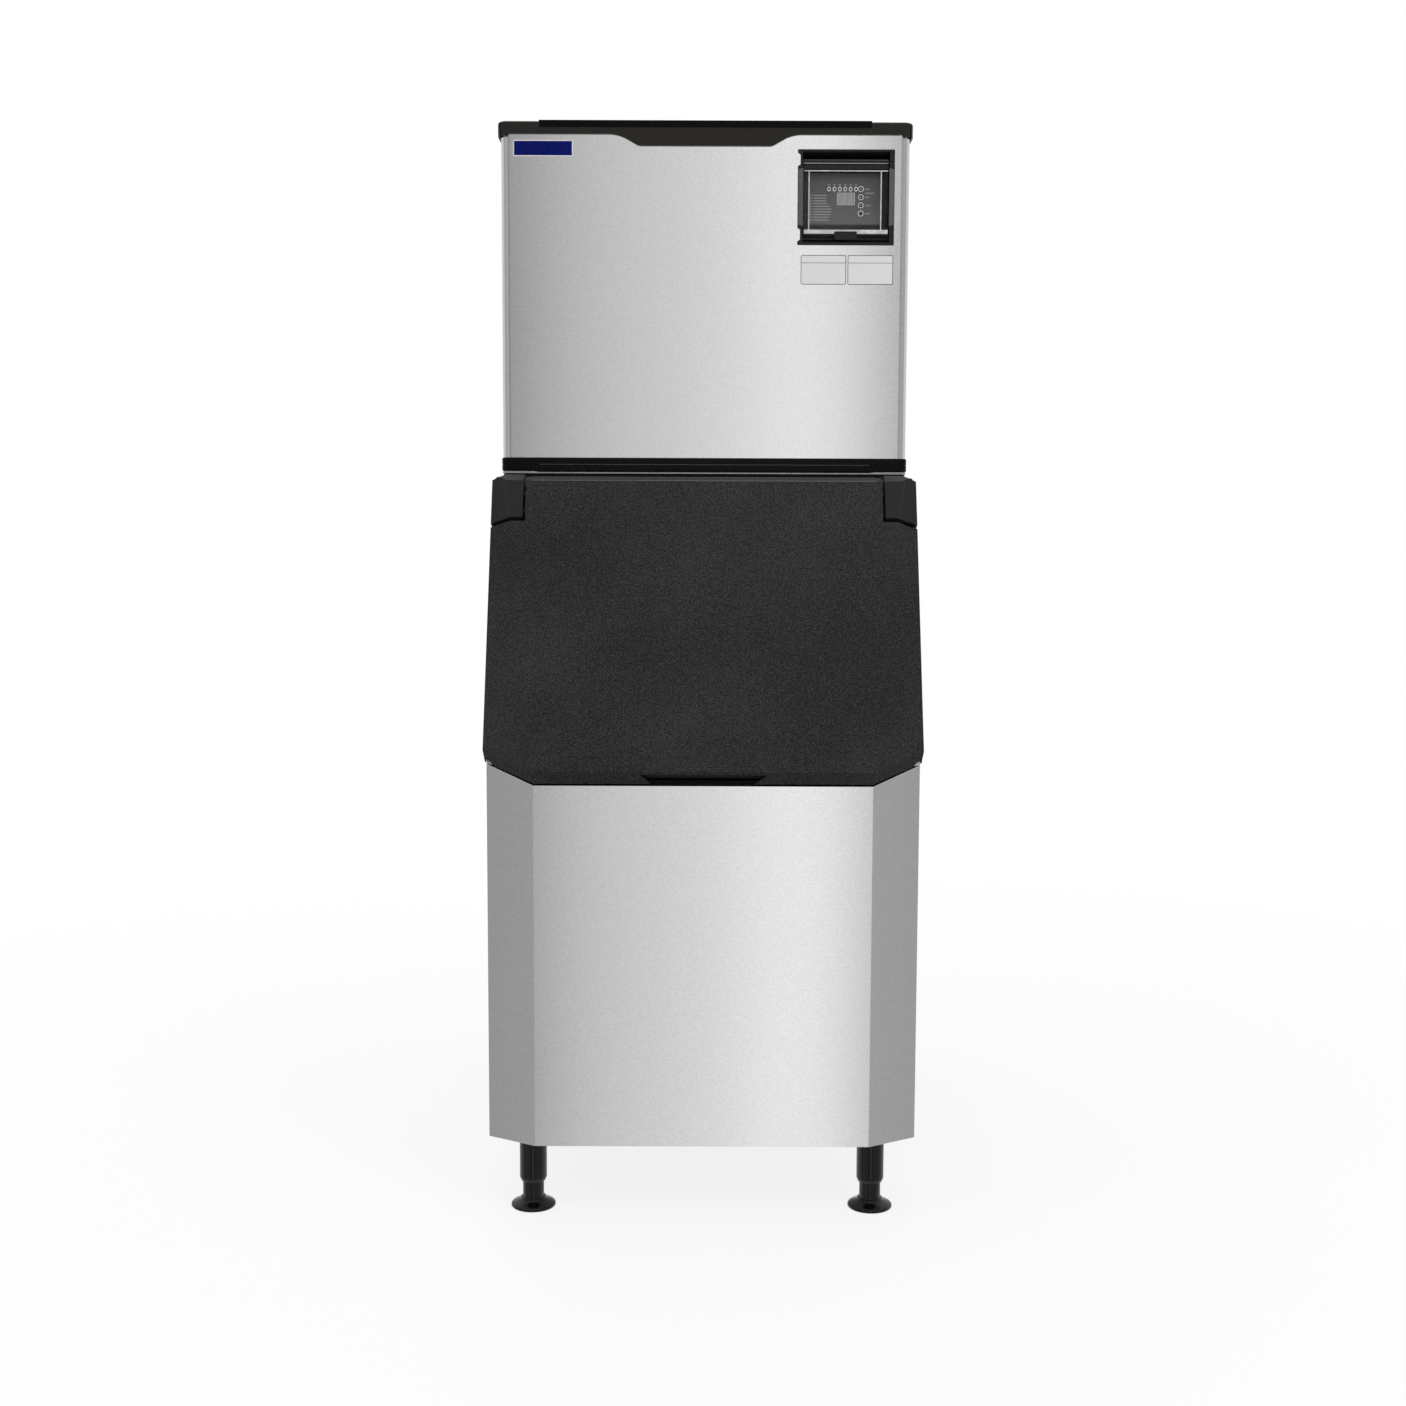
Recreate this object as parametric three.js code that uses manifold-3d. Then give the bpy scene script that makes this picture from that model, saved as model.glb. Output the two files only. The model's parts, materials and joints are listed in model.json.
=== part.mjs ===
// Ice machine standing on its slope-fronted storage bin.
// Lengths are millimetres, with +X to the right, +Y to the back and +Z up. The origin lies on the
// floor, below the middle of the box round the whole machine.

import * as THREE from 'three'
import { mergeVertices } from 'three/addons/utils/BufferGeometryUtils.js'
import Module from 'manifold-3d'

const wasm = await Module()
wasm.setup()

// Sizes that the whole machine shares
const degree = Math.PI / 180
const fit = 0.3 // gap between pieces that seat on each other
const overrun = 4 // how far a cut passes the face that it leaves by
const sheet = 1.2 // stainless and zinced sheet
const sides = { small: 12, round: 20, large: 32 } // facets round a circle
const arcs = { corner: 4, sweep: 6 } // facets along an arc

// Bin, measured back from its front steel face
const body = {
  width: 560, depth: 830, bottom: 100.5, top: 966, ledge: 572, ledgeRise: 31 * degree,
  chamferAcross: 63.5, chamferDeep: 38, lean: 22.5 * degree, basePlate: 1.5,
  wall: 46, floor: 45.5, ceiling: 46, header: 43, headerDrop: 94, liner: 2, flange: 2.5,
}
const door = {
  proud: 3, gap: 2.6, lipHeight: 15.8, lipInset: 2.5, facetOver: 1.5, sideProud: 4.5, wall: 3.5,
  thick: 30, seal: 6, cheekDeep: 57, topDrop: 4, topChamferAcross: 15.6, topChamferDeep: 12,
  panel: 4, panelDrop: 11.5, plateau: 14, plateauMargin: 9, coverGap: 2.5,
  crown: { frontDeep: 13, frontRise: 10.7, backDeep: 21.3, backRise: 14.1 },
}
const pull = { topHalf: 80.5, bottomHalf: 63.5, below: 3.9, height: 14, deep: 11, wall: 2.5 }
const hinge = {
  deep: 20, belowTop: 12.3, cheekGap: 50.5, coverEdge: 46, pin: 5, play: 0.5, boss: 10, bossLong: 20,
}
const gutter = { radius: 29, endGap: 1.5, skin: 2.5 }
const cover = {
  wide: 44.5, wall: 2.8, gap: 9, rise: 4, tailDrop: 53, bevelAcross: 18, bevelHigh: 8,
}
const bracket = { plate: 2.7, sideGap: 9.9, low: 36, high: 8, ear: 4, earRadius: 11 }
const pinHead = { radius: 8, thick: 4 }
const seal = { width: 15, thick: 5.4, side: 4, sill: 3.5, header: 6 }
const deck = { thick: 3, tongueInset: 2.5, tongueGap: 2, shoulder: 2 }
const drop = { inset: 10, ahead: 65, behind: 18 } // where the ice falls through, from the ice maker
const foot = { pad: 29.5, rim: 4, shoulder: 12, neck: 17, stem: 14, stemTop: 70, travel: 20 }
const leg = { inset: 56, front: 57, radius: 18, bottom: 35, taper: 5, tip: 16, play: 0.4 }

// Head, standing on the bin
const head = { setback: 56, cornerRadius: 12, returnDeep: 22, panelHeight: 450.9, flange: 15 }
const seat = { gasket: 4, gasketInset: 1.5, gasketWidth: 14, pan: 3.6, panInset: 0.6 }
const strip = { height: 18.2, proud: 2.5, wide: 16, groove: 1, grooveDeep: 0.8, grooveUp: 9 }
const cap = {
  proud: 4, wall: 3, radius: 14, skirt: 16.5, frontLift: 3, raise: 3.5, raiseInset: 57, raiseFront: 6,
  bevel: 3, tabHalf: 90.5, tabShoulder: 119.5, tabDrop: 15.5,
}
const rearReach = 18 // how far the fittings stand out behind

// Ice maker in the left of the head, measured from the sides and from the front of its frame
const partition = { fromSide: 220, thick: 1.5, gap: 0.5, belowTop: 16 }
const frame = { fromSide: 84, gap: 4, wall: 4, behind: 202.5, deep: 83, belowTop: 50 }
const grid = {
  behind: 30, deep: 24, up: 142, belowTop: 18, columns: 9, rows: 10, rib: 2.4, backPlate: 2.5,
}
const coil = { radius: 5, runs: 7, margin: 22, steps: 6, facets: 6 }
const sprayTube = { radius: 8, wall: 1.5 }
const trough = { behind: 22, up: 62, height: 58, fromSide: 18, wall: 2.5 }
const pump = { fromTrough: 30, behind: 50, radius: 21, shaft: 5, impeller: 15, standUp: 62, height: 85 }
const curtain = {
  behind: 12, thick: 3, up: 88, belowTop: 14, pin: 4, roll: 6, ribs: 5, ribDeep: 3, ribWide: 4,
}

// Refrigeration in the right of the head, measured from the head's front or from its back
const compressor = { behind: 152.5, radius: 74, height: 190, foot: 82, plate: 5, dome: 26, seam: 5 }
const condenser = { ahead: 162, deep: 44, margin: 18.5, fins: 12, spine: 6, endPlate: 2 }
const fan = {
  lift: 58, shroud: 3, radius: 76, wall: 3, ringDeep: 34, plateEdge: 16, hub: 22, blades: 5,
  tipGap: 4, bladeThick: 2, bladePitch: 32 * degree, bladeWide: 34, shaft: 3.5,
  motor: 32, motorDeep: 44, arm: 7, armDeep: 5, gap: 6,
}
const grille = { slots: 9, rows: 2, slotHigh: 7, slotWide: 70, pitch: 16, between: 84 }
const louvres = { count: 14, fromBack: 240, length: 190, up: 34, pitch: 15, height: 10, proud: 3.6 }

// Control recess, measured from the edges of its bezel or from its middle
const bezel = {
  width: 132.5, height: 125.5, fromEdge: 21, fromTop: 33.7, flange: 1.2, overlap: 1.25,
  rimWide: 6.75, rimHigh: 2, floorDeep: 16.3, floor: 2.5, flareTop: 11, flareBottom: 6,
}
const fascia = { sideGap: 0.5, fromBottom: 11.25, fromTop: 27.75, thick: 2 }
const flipCover = {
  sideGap: 1.9, fromBottom: 12, fromTop: 21.75, axisDeep: 5, thick: 2, barrel: 3.5, pin: 2, play: 0.4,
  pinReach: 5.4, edge: 1.2, edgeWide: 2.2, ledge: 5,
}
const tab = { x: -0.25, half: 15.5, below: 6.55, above: 5, thick: 2.4 }
const display = { x: 0.9, up: 0.25, width: 24, height: 16, proud: 0.3 }
const lights = {
  left: -22.45, pitch: 7.44, count: 6, up: 13.55, lens: 2, play: 0.4, bar: 7, barThick: 1.5, proud: 0.3,
}
const button = {
  x: 21.45, up: 13.55, pitch: 11, count: 4, radius: 3.7, play: 0.4, proud: 1.4,
  flange: 4.4, flangeThick: 1, dish: 0.4,
}
const controlBox = { sideGap: 6.25, fromBottom: 7.75, fromTop: 13.75, deep: 96, wall: 1.5 }

// Fittings at the back
const inlet = { fromSide: 80, up: 44, radius: 10, flange: 17, hex: 14, bore: 6, inside: 26 }
const headDrain = { fromSide: 160, up: 38, radius: 12, flange: 19, hex: 16, bore: 8, inside: 26 }
const gland = { fromSide: 35, up: 44, radius: 9, flange: 14, hex: 12, bore: 5, inside: 20 }
const fitting = { flangeThick: 4, plugShare: 0.45 }
const binDrain = { x: 0, up: 17, radius: 12, flange: 20, hex: 15, bore: 8 }

// Places worked out from the sizes
const half = body.width / 2
const inset = sheet + fit
const leanSin = Math.sin(body.lean)
const leanCos = Math.cos(body.lean)
const riseTan = Math.tan(body.ledgeRise)
const doorFoot = { y: -door.proud, z: body.ledge + door.gap + door.lipHeight }
const doorTop = (body.top - door.topDrop - doorFoot.z) / leanCos
const rim = door.thick + door.seal
const sideHalf = half + door.sideProud
const coverInner = sideHalf - cover.wide
const doorBetween = coverInner - door.coverGap
const hingeBore = hinge.pin + hinge.play
const deckBottom = body.top + fit
const gasketBottom = deckBottom + deck.thick + fit
const panBottom = gasketBottom + seat.gasket + fit
const panTop = panBottom + seat.pan
const floorLevel = panTop + fit
const panelBottom = floorLevel + strip.height + fit
const panelTop = panelBottom + head.panelHeight
const capTop = panelTop + fit + cap.wall

// Where the slope of the bin meets its top, behind the door, and the head behind it
const slopeTop = doorFoot.y + (body.top - doorFoot.z) * leanSin / leanCos + rim / leanCos
const headFront = slopeTop + head.setback
const coverBack = headFront - strip.proud - cover.gap

// Bays of the head
const partitionX = half - partition.fromSide
const bayMiddle = (partitionX + partition.thick + half + strip.proud - strip.wide) / 2
const makerLeft = frame.fromSide - half
const makerRight = partitionX - frame.gap
const makerFront = headFront + frame.behind
const makerTop = panelTop - frame.belowTop

// Outline of a shape given as points or as a ready shape
const outlineOf = points =>
  points instanceof THREE.Shape ? points : new THREE.Shape(points.map(([u, v]) => new THREE.Vector2(u, v)))

// Closed solid from a geometry, with its shared corners merged and its empty facets dropped
function solid(geometry) {
  const bare = new THREE.BufferGeometry()
  bare.setAttribute('position', geometry.getAttribute('position'))
  bare.setIndex(geometry.index)
  const merged = mergeVertices(bare)
  const corners = merged.index.array
  const facets = []
  for (let i = 0; i < corners.length; i += 3) {
    const [a, b, c] = corners.slice(i, i + 3)
    if (a !== b && b !== c && c !== a) facets.push(a, b, c)
  }
  return new wasm.Manifold(new wasm.Mesh({
    numProp: 3,
    vertProperties: merged.getAttribute('position').array,
    triVerts: new Uint32Array(facets),
  }))
}

// Geometry of a solid, with flat facets
function geometryOf(shape) {
  const mesh = shape.getMesh()
  const geometry = new THREE.BufferGeometry()
  geometry.setAttribute('position', new THREE.BufferAttribute(new Float32Array(mesh.vertProperties), 3))
  geometry.setIndex(new THREE.BufferAttribute(new Uint32Array(mesh.triVerts), 1))
  const facets = geometry.toNonIndexed()
  facets.computeVertexNormals()
  return facets
}

const join = (first, ...others) => others.reduce((whole, other) => whole.add(other), first)
const cut = (first, ...others) => others.reduce((whole, other) => whole.subtract(other), first)
const meet = (first, ...others) => others.reduce((whole, other) => whole.intersect(other), first)

// The same solid on the other side of the middle
function mirrored(shape) {
  const geometry = geometryOf(shape).scale(-1, 1, 1)
  const position = geometry.getAttribute('position')
  const order = []
  for (let i = 0; i < position.count; i += 3) order.push(i, i + 2, i + 1)
  geometry.setIndex(order)
  return solid(geometry)
}

function extruded(points, depth, curveSegments = arcs.corner) {
  return new THREE.ExtrudeGeometry(outlineOf(points), { depth, bevelEnabled: false, curveSegments })
}

// Outlines in the view from above, from the side and from the front
const upward = (points, low, high) => solid(extruded(points, high - low).translate(0, 0, low))

function sideways(points, left, right, segments) {
  const turn = new THREE.Matrix4().makeBasis(
    new THREE.Vector3(0, 1, 0), new THREE.Vector3(0, 0, 1), new THREE.Vector3(1, 0, 0),
  )
  return solid(extruded(points, right - left, segments).applyMatrix4(turn).translate(left, 0, 0))
}

function frontways(points, front, back, segments) {
  return solid(extruded(points, back - front, segments).rotateX(Math.PI / 2).translate(0, back, 0))
}

function block(left, right, front, back, low, high) {
  const size = [right - left, back - front, high - low]
  const middle = [(left + right) / 2, (front + back) / 2, (low + high) / 2]
  return solid(new THREE.BoxGeometry(...size).translate(...middle))
}

// Round bars along each direction
const bar = (radius, length, facets) => new THREE.CylinderGeometry(radius, radius, length, facets)

function rodAcross(radius, left, right, y, z, facets = sides.round) {
  return solid(bar(radius, right - left, facets).rotateZ(Math.PI / 2).translate((left + right) / 2, y, z))
}

function rodDeep(radius, front, back, x, z, facets = sides.round) {
  return solid(bar(radius, back - front, facets).translate(x, (front + back) / 2, z))
}

function rodUp(radius, low, high, x, y, facets = sides.round) {
  return solid(bar(radius, high - low, facets).rotateX(Math.PI / 2).translate(x, y, (low + high) / 2))
}

// Profile of radius and height turned about the upright
function turned(profile, facets = sides.round) {
  const points = profile.map(([radius, height]) => new THREE.Vector2(radius, height))
  return solid(new THREE.LatheGeometry(points, facets).rotateX(Math.PI / 2))
}

// The same, turned about a line that runs to the back
function turnedDeep(profile, x, z, facets = sides.round) {
  const points = profile.map(([radius, y]) => new THREE.Vector2(radius, y))
  return solid(new THREE.LatheGeometry(points, facets).translate(x, 0, z))
}

// Skin through a row of outlines that have the same count of corners, with flat ends
function loft(outlines) {
  const count = outlines[0].length
  const last = (outlines.length - 1) * count
  const facets = []
  for (let level = 0; level < last; level += count) {
    for (let i = 0; i < count; i++) {
      const a = level + i
      const b = level + (i + 1) % count
      facets.push(a, b, b + count, a, b + count, a + count)
    }
  }
  for (let i = 1; i + 1 < count; i++) {
    facets.push(0, i + 1, i, last, last + i, last + i + 1)
  }
  const geometry = new THREE.BufferGeometry().setFromPoints(outlines.flat())
  geometry.setIndex(facets)
  return solid(geometry)
}

function roundedBox(left, right, low, high, radius) {
  const shape = new THREE.Shape()
  shape.moveTo(left + radius, low)
  shape.lineTo(right - radius, low)
  shape.absarc(right - radius, low + radius, radius, -Math.PI / 2, 0)
  shape.lineTo(right, high - radius)
  shape.absarc(right - radius, high - radius, radius, 0, Math.PI / 2)
  shape.lineTo(left + radius, high)
  shape.absarc(left + radius, high - radius, radius, Math.PI / 2, Math.PI)
  shape.lineTo(left, low + radius)
  shape.absarc(left + radius, low + radius, radius, Math.PI, Math.PI * 3 / 2)
  return shape
}

// Finishes
const finish = (color, roughness, metalness) => new THREE.MeshStandardMaterial({ color, roughness, metalness })
const steel = finish(0xb9bab8, 0.38, 0.9)
const zinc = finish(0xa7aaad, 0.5, 0.8)
const doorPlastic = finish(0x2c2c2d, 0.72, 0)
const hingePlastic = finish(0x28282a, 0.6, 0)
const capPlastic = finish(0x35322f, 0.7, 0)
const glossBlack = finish(0x131416, 0.3, 0)
const bezelPlastic = finish(0x1d1d1f, 0.5, 0)
const fasciaPrint = finish(0x6f7276, 0.5, 0)
const clearPlastic = new THREE.MeshStandardMaterial({
  color: 0xdfe6ea, roughness: 0.1, metalness: 0, transparent: true, opacity: 0.35,
})
const screen = finish(0xc9cfd2, 0.2, 0)
const buttonPlastic = finish(0xd8dadb, 0.45, 0)
const foodPlastic = finish(0xe9edef, 0.5, 0)
const foam = finish(0xd9d2a8, 0.9, 0)
const softRubber = finish(0x1a1a1a, 0.85, 0)
const nickel = finish(0xc9c6bd, 0.3, 0.9)
const copper = finish(0xb5754b, 0.35, 0.9)
const motorPaint = finish(0x1f2022, 0.5, 0.3)
const brassMetal = finish(0xb59a55, 0.35, 0.9)
const finMetal = finish(0xc4c7ca, 0.4, 0.9)

// Groups: everything is measured from the bin's front steel face and then brought to the middle
const machine = new THREE.Group()
machine.position.y = -(body.depth + rearReach - door.proud) / 2
const bin = new THREE.Group()
const iceHead = new THREE.Group()
const controls = new THREE.Group()
machine.add(bin, iceHead)
iceHead.add(controls)

function place(group, name, shape, material, at = [0, 0, 0]) {
  const mesh = new THREE.Mesh(geometryOf(shape), material)
  mesh.name = name
  mesh.position.set(...at)
  group.add(mesh)
}

// Places on the leaning front, by depth behind the door's face and length up from its foot
const slopePoint = (deep, along) => [
  doorFoot.y + along * leanSin + deep * leanCos,
  doorFoot.z + along * leanCos - deep * leanSin,
]
const alongAtHeight = (deep, z) => (z - doorFoot.z + deep * leanSin) / leanCos
const alongAtDepth = (deep, y) => (y - doorFoot.y - deep * leanCos) / leanSin
const onSlope = (across, deep, along) => new THREE.Vector3(across, ...slopePoint(deep, along))

// Where a plane that rises like the ledge, from a level above the front face, is this deep
function yOnRise(level, deep) {
  const fromFoot = deep + doorFoot.y * leanCos + (level - doorFoot.z) * leanSin
  return fromFoot / (leanCos - riseTan * leanSin)
}

// Slab that lies along the slope, between two depths and two lengths up it
const slopeSlab = (front, back, low, high, left, right) => sideways([
  slopePoint(back, low), slopePoint(back, high), slopePoint(front, high), slopePoint(front, low),
], left, right)

const hingePlace = slopePoint(hinge.deep, doorTop - hinge.belowTop)
const hingeRod = (radius, left, right, facets) => rodAcross(radius, left, right, ...hingePlace, facets)

// Front corner of an outline with chamfered corners, moved in by a wall
function chamferIn(frontHalf, across, deep, inward) {
  const long = Math.hypot(across, deep)
  return {
    front: frontHalf - inward * (long - across) / deep,
    side: deep + inward * (long - deep) / across,
  }
}

function bodyPlan(inward, back) {
  const corner = chamferIn(half - body.chamferAcross, body.chamferAcross, body.chamferDeep, inward)
  const side = half - inward
  return [
    [-corner.front, inward], [corner.front, inward], [side, corner.side],
    [side, back], [-side, back], [-side, corner.side],
  ]
}

// Body of the bin between a rim depth, a ledge level, a bottom, a top and a back
function bodyForm({ inward, back, low, high, rimDeep, ledge }) {
  const corner = yOnRise(ledge, rimDeep)
  const profile = [
    [inward - overrun, low], [back, low], [back, high],
    slopePoint(rimDeep, alongAtHeight(rimDeep, high)),
    [corner, ledge + corner * riseTan],
    [inward - overrun, ledge + (inward - overrun) * riseTan],
  ]
  return meet(upward(bodyPlan(inward, back), low, high), sideways(profile, -half, half))
}

// Store of the ice, grown outward by a skin
function storeForm(grown) {
  const front = body.wall - grown
  const back = body.depth - body.wall + grown
  const low = body.bottom + body.floor - grown
  const high = body.top - body.ceiling + grown
  const underHeader = body.top - body.headerDrop + grown
  const mouth = rim - overrun
  const headerBack = rim + body.header - grown
  return sideways([
    [front, low], [back, low], [back, high],
    slopePoint(headerBack, alongAtHeight(headerBack, high)),
    slopePoint(headerBack, alongAtHeight(headerBack, underHeader)),
    slopePoint(mouth, alongAtHeight(mouth, underHeader)),
    slopePoint(mouth, alongAtDepth(mouth, front)),
  ], -half + front, half - front)
}

const dropForm = (grown, low, high) => block(
  makerLeft + drop.inset - grown, makerRight - drop.inset + grown,
  makerFront - drop.ahead - grown, makerFront + drop.behind + grown, low, high,
)
const drainLevel = body.bottom + body.floor + binDrain.up
const gutterHalf = doorBetween + gutter.endGap
const gutterForm = grown => hingeRod(gutter.radius + grown, -gutterHalf - grown, gutterHalf + grown)

function makeBinShell() {
  const whole = bodyForm({
    inward: 0, back: body.depth, low: body.bottom, high: body.top, rimDeep: rim, ledge: body.ledge,
  })
  const hollow = bodyForm({
    inward: sheet,
    back: body.depth + overrun,
    low: body.bottom - overrun,
    high: body.top + overrun,
    rimDeep: rim - fit,
    ledge: body.ledge - sheet / Math.cos(body.ledgeRise),
  })
  place(bin, 'bin_outer_shell', cut(whole, hollow), steel)
}

function makeBinCore() {
  const core = bodyForm({
    inward: inset,
    back: body.depth - inset,
    low: body.bottom + body.basePlate + fit,
    high: body.top,
    rimDeep: rim,
    ledge: body.ledge - inset / Math.cos(body.ledgeRise),
  })
  const above = body.top + overrun
  const ceiling = body.top - body.ceiling - overrun
  const drainHole = rodDeep(
    binDrain.radius + fit, body.depth - body.wall - overrun, body.depth + overrun, binDrain.x, drainLevel,
  )
  const foamGap = body.liner + fit
  const sillLow = alongAtDepth(rim, yOnRise(body.ledge - inset / Math.cos(body.ledgeRise), rim))
  const rimSkin = grown => slopeSlab(
    rim - overrun, rim + body.flange + grown, sillLow - grown, body.top, -half, half,
  )
  const insulation = cut(
    core,
    rimSkin(fit),
    storeForm(foamGap),
    gutterForm(gutter.skin + fit),
    dropForm(foamGap, ceiling, above),
    drainHole,
  )
  const skin = join(
    rimSkin(0),
    storeForm(body.liner),
    gutterForm(gutter.skin),
    dropForm(body.liner, ceiling, above),
  )
  const liner = cut(
    meet(core, skin), storeForm(0), gutterForm(0), dropForm(0, ceiling, above), drainHole,
  )
  place(bin, 'bin_insulation', insulation, foam)
  place(bin, 'bin_liner', liner, foodPlastic)
}

function makeBinPlates() {
  const base = upward(bodyPlan(inset, body.depth - inset), body.bottom, body.bottom + body.basePlate)
  place(bin, 'bin_base_plate', base, zinc)

  const side = half - inset
  const back = block(-side, side, body.depth - sheet, body.depth, body.bottom, body.top)
  const hole = rodDeep(
    binDrain.radius + fit, body.depth - sheet - overrun, body.depth + overrun, binDrain.x, drainLevel,
  )
  place(bin, 'bin_back_panel', cut(back, hole), zinc)

  const tongue = coverInner - deck.tongueInset
  const shoulder = coverBack + deck.shoulder
  const front = slopeTop + deck.tongueGap
  const rear = body.depth - inset
  const deckPlan = [
    [-tongue, front], [tongue, front], [tongue, shoulder], [half, shoulder],
    [half, rear], [-half, rear], [-half, shoulder], [-tongue, shoulder],
  ]
  const plate = cut(
    upward(deckPlan, deckBottom, deckBottom + deck.thick),
    dropForm(0, deckBottom - overrun, deckBottom + deck.thick + overrun),
  )
  place(bin, 'bin_deck_plate', plate, zinc)
}

// Door: three outlines, at the lower edge of its lip, at the crease above the lip and at its top
function risingOutline({ frontHalf, side, frontY, across, deep, level, rearDeep, inward }) {
  const corner = chamferIn(frontHalf, across, deep, inward)
  const rear = yOnRise(level, rearDeep)
  const at = (x, y) => new THREE.Vector3(x, y, level + y * riseTan)
  return [
    at(-corner.front, frontY + inward), at(corner.front, frontY + inward),
    at(side - inward, frontY + corner.side), at(side - inward, rear),
    at(inward - side, rear), at(inward - side, frontY + corner.side),
  ]
}

function doorForm(inward, rearDeep) {
  const frontHalf = half - body.chamferAcross + door.facetOver
  const lipLevel = body.ledge + door.gap + inward
  const lip = risingOutline({
    frontHalf: frontHalf - door.lipInset,
    side: sideHalf - door.lipInset,
    frontY: 0,
    across: sideHalf - frontHalf,
    deep: body.chamferDeep,
    level: lipLevel,
    rearDeep,
    inward,
  })
  const crease = risingOutline({
    frontHalf,
    side: sideHalf,
    frontY: doorFoot.y,
    across: sideHalf - frontHalf,
    deep: body.chamferDeep,
    level: doorFoot.z - doorFoot.y * riseTan,
    rearDeep,
    inward,
  })
  const topHalf = sideHalf - door.topChamferAcross - door.sideProud
  const corner = chamferIn(topHalf, sideHalf - topHalf, door.topChamferDeep, inward)
  const top = [
    [-corner.front, inward], [corner.front, inward], [sideHalf - inward, corner.side],
    [sideHalf - inward, rearDeep], [inward - sideHalf, rearDeep], [inward - sideHalf, corner.side],
  ]
  return loft([lip, crease, top.map(([across, deep]) => onSlope(across, deep, doorTop - inward))])
}

// Rounded top edge of the door between the hinge covers
function crownForm(inward) {
  const { frontDeep, frontRise, backDeep, backRise } = door.crown
  const side = doorBetween - inward
  return sideways([
    slopePoint(inward, doorTop - hinge.cheekGap),
    slopePoint(door.thick + inward, doorTop - hinge.cheekGap),
    slopePoint(door.thick - inward / 2, doorTop),
    slopePoint(backDeep - inward / 2, doorTop + backRise - inward),
    slopePoint(frontDeep + inward / 2, doorTop + frontRise - inward),
    slopePoint(inward, doorTop - inward / 2),
  ], -side, side)
}

function pullForm(grown) {
  const high = doorFoot.z - pull.below + grown
  const low = high - pull.height - grown - overrun
  const slant = (pull.topHalf - pull.bottomHalf) / pull.height
  const lowHalf = pull.topHalf + grown - slant * (high - low)
  return frontways([
    [-lowHalf, low], [lowHalf, low], [pull.topHalf + grown, high], [-pull.topHalf - grown, high],
  ], -door.proud - overrun, pull.deep + grown)
}

function makeDoor() {
  const middle = inward => block(
    inward - doorBetween, doorBetween - inward, -body.depth, body.depth, 0, body.top + body.wall,
  )
  const form = (inward, rearDeep) => {
    const whole = doorForm(inward, rearDeep)
    const wide = cut(whole, hingeRod(hinge.cheekGap + inward, -body.width, body.width, sides.large))
    return join(wide, meet(whole, middle(inward)), crownForm(inward))
  }
  const outer = form(0, door.cheekDeep)
  const hollow = form(door.wall, door.cheekDeep + overrun)
  const behind = slopeSlab(door.thick, body.depth, -body.top, body.top, -half - fit, half + fit)
  const bossInner = doorBetween - door.wall - hinge.bossLong
  const bosses = []
  const bores = []
  for (const side of [-1, 1]) {
    const ends = [side * bossInner, side * (doorBetween - door.wall / 2)].sort((a, b) => a - b)
    bosses.push(hingeRod(hinge.boss, ...ends))
    bores.push(hingeRod(hingeBore, ends[0] - overrun, ends[1] + overrun))
  }
  const grip = meet(pullForm(pull.wall), outer)
  const walls = join(cut(outer, hollow, behind), ...bosses, cut(grip, behind))
  place(bin, 'bin_door_shell', cut(walls, ...bores, pullForm(0)), doorPlastic)

  const lowEdge = alongAtHeight(door.thick, body.ledge) + door.lipHeight
  const highEdge = doorTop - hinge.belowTop - hinge.boss - door.panelDrop
  const slice = (front, back, low, high, side) => slopeSlab(front, back, low, high, -side, side)
  const store = half - body.wall - door.plateauMargin
  const sill = alongAtDepth(rim, body.wall) + door.plateauMargin
  const header = alongAtHeight(rim, body.top - body.headerDrop) - door.plateauMargin
  const plateauBack = door.thick + door.plateau
  const plate = meet(
    slice(door.thick - door.panel, door.thick, lowEdge, highEdge, sideHalf),
    form(door.wall + fit, door.cheekDeep),
  )
  const grips = pullForm(pull.wall + fit)
  const raised = slice(door.thick - door.panel, plateauBack, sill, header, store)
  const hollowed = slice(
    -door.panel, plateauBack - door.panel, sill + door.panel, header - door.panel, store - door.panel,
  )
  place(bin, 'bin_door_inner_panel', cut(join(plate, raised), hollowed, grips), foodPlastic)

  const inner = { side: half - body.wall + seal.side, low: sill - door.plateauMargin - seal.sill }
  inner.high = header + door.plateauMargin + seal.header
  const sealFront = door.thick + fit
  const ring = cut(
    slice(
      sealFront, sealFront + seal.thick, inner.low - seal.width, inner.high + seal.width,
      inner.side + seal.width,
    ),
    slice(sealFront - overrun, rim + overrun, inner.low, inner.high, inner.side),
  )
  place(bin, 'bin_door_seal', ring, softRubber)
}

// Covers at the door's top corners, with the bracket and pin that they hide
function coverProfile(inward) {
  const [axisY, axisZ] = hingePlace
  const radius = hinge.coverEdge - inward
  const tail = body.top - cover.tailDrop + inward
  const deep = inward - hinge.deep
  const first = Math.atan2(
    -deep * leanSin - Math.sqrt(radius ** 2 - deep ** 2) * leanCos,
    deep * leanCos - Math.sqrt(radius ** 2 - deep ** 2) * leanSin,
  )
  const last = Math.asin((tail - axisZ) / radius)
  const shape = new THREE.Shape()
  shape.absarc(axisY, axisZ, radius, first, last)
  shape.lineTo(coverBack - inward, tail)
  shape.lineTo(coverBack - inward, body.top + cover.rise - inward)
  const brow = slopePoint(door.crown.frontDeep, doorTop + door.crown.frontRise)
  shape.lineTo(brow[0] + inward, body.top + cover.rise - inward)
  shape.lineTo(...slopePoint(inward, doorTop - inward / 2))
  return shape
}

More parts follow.
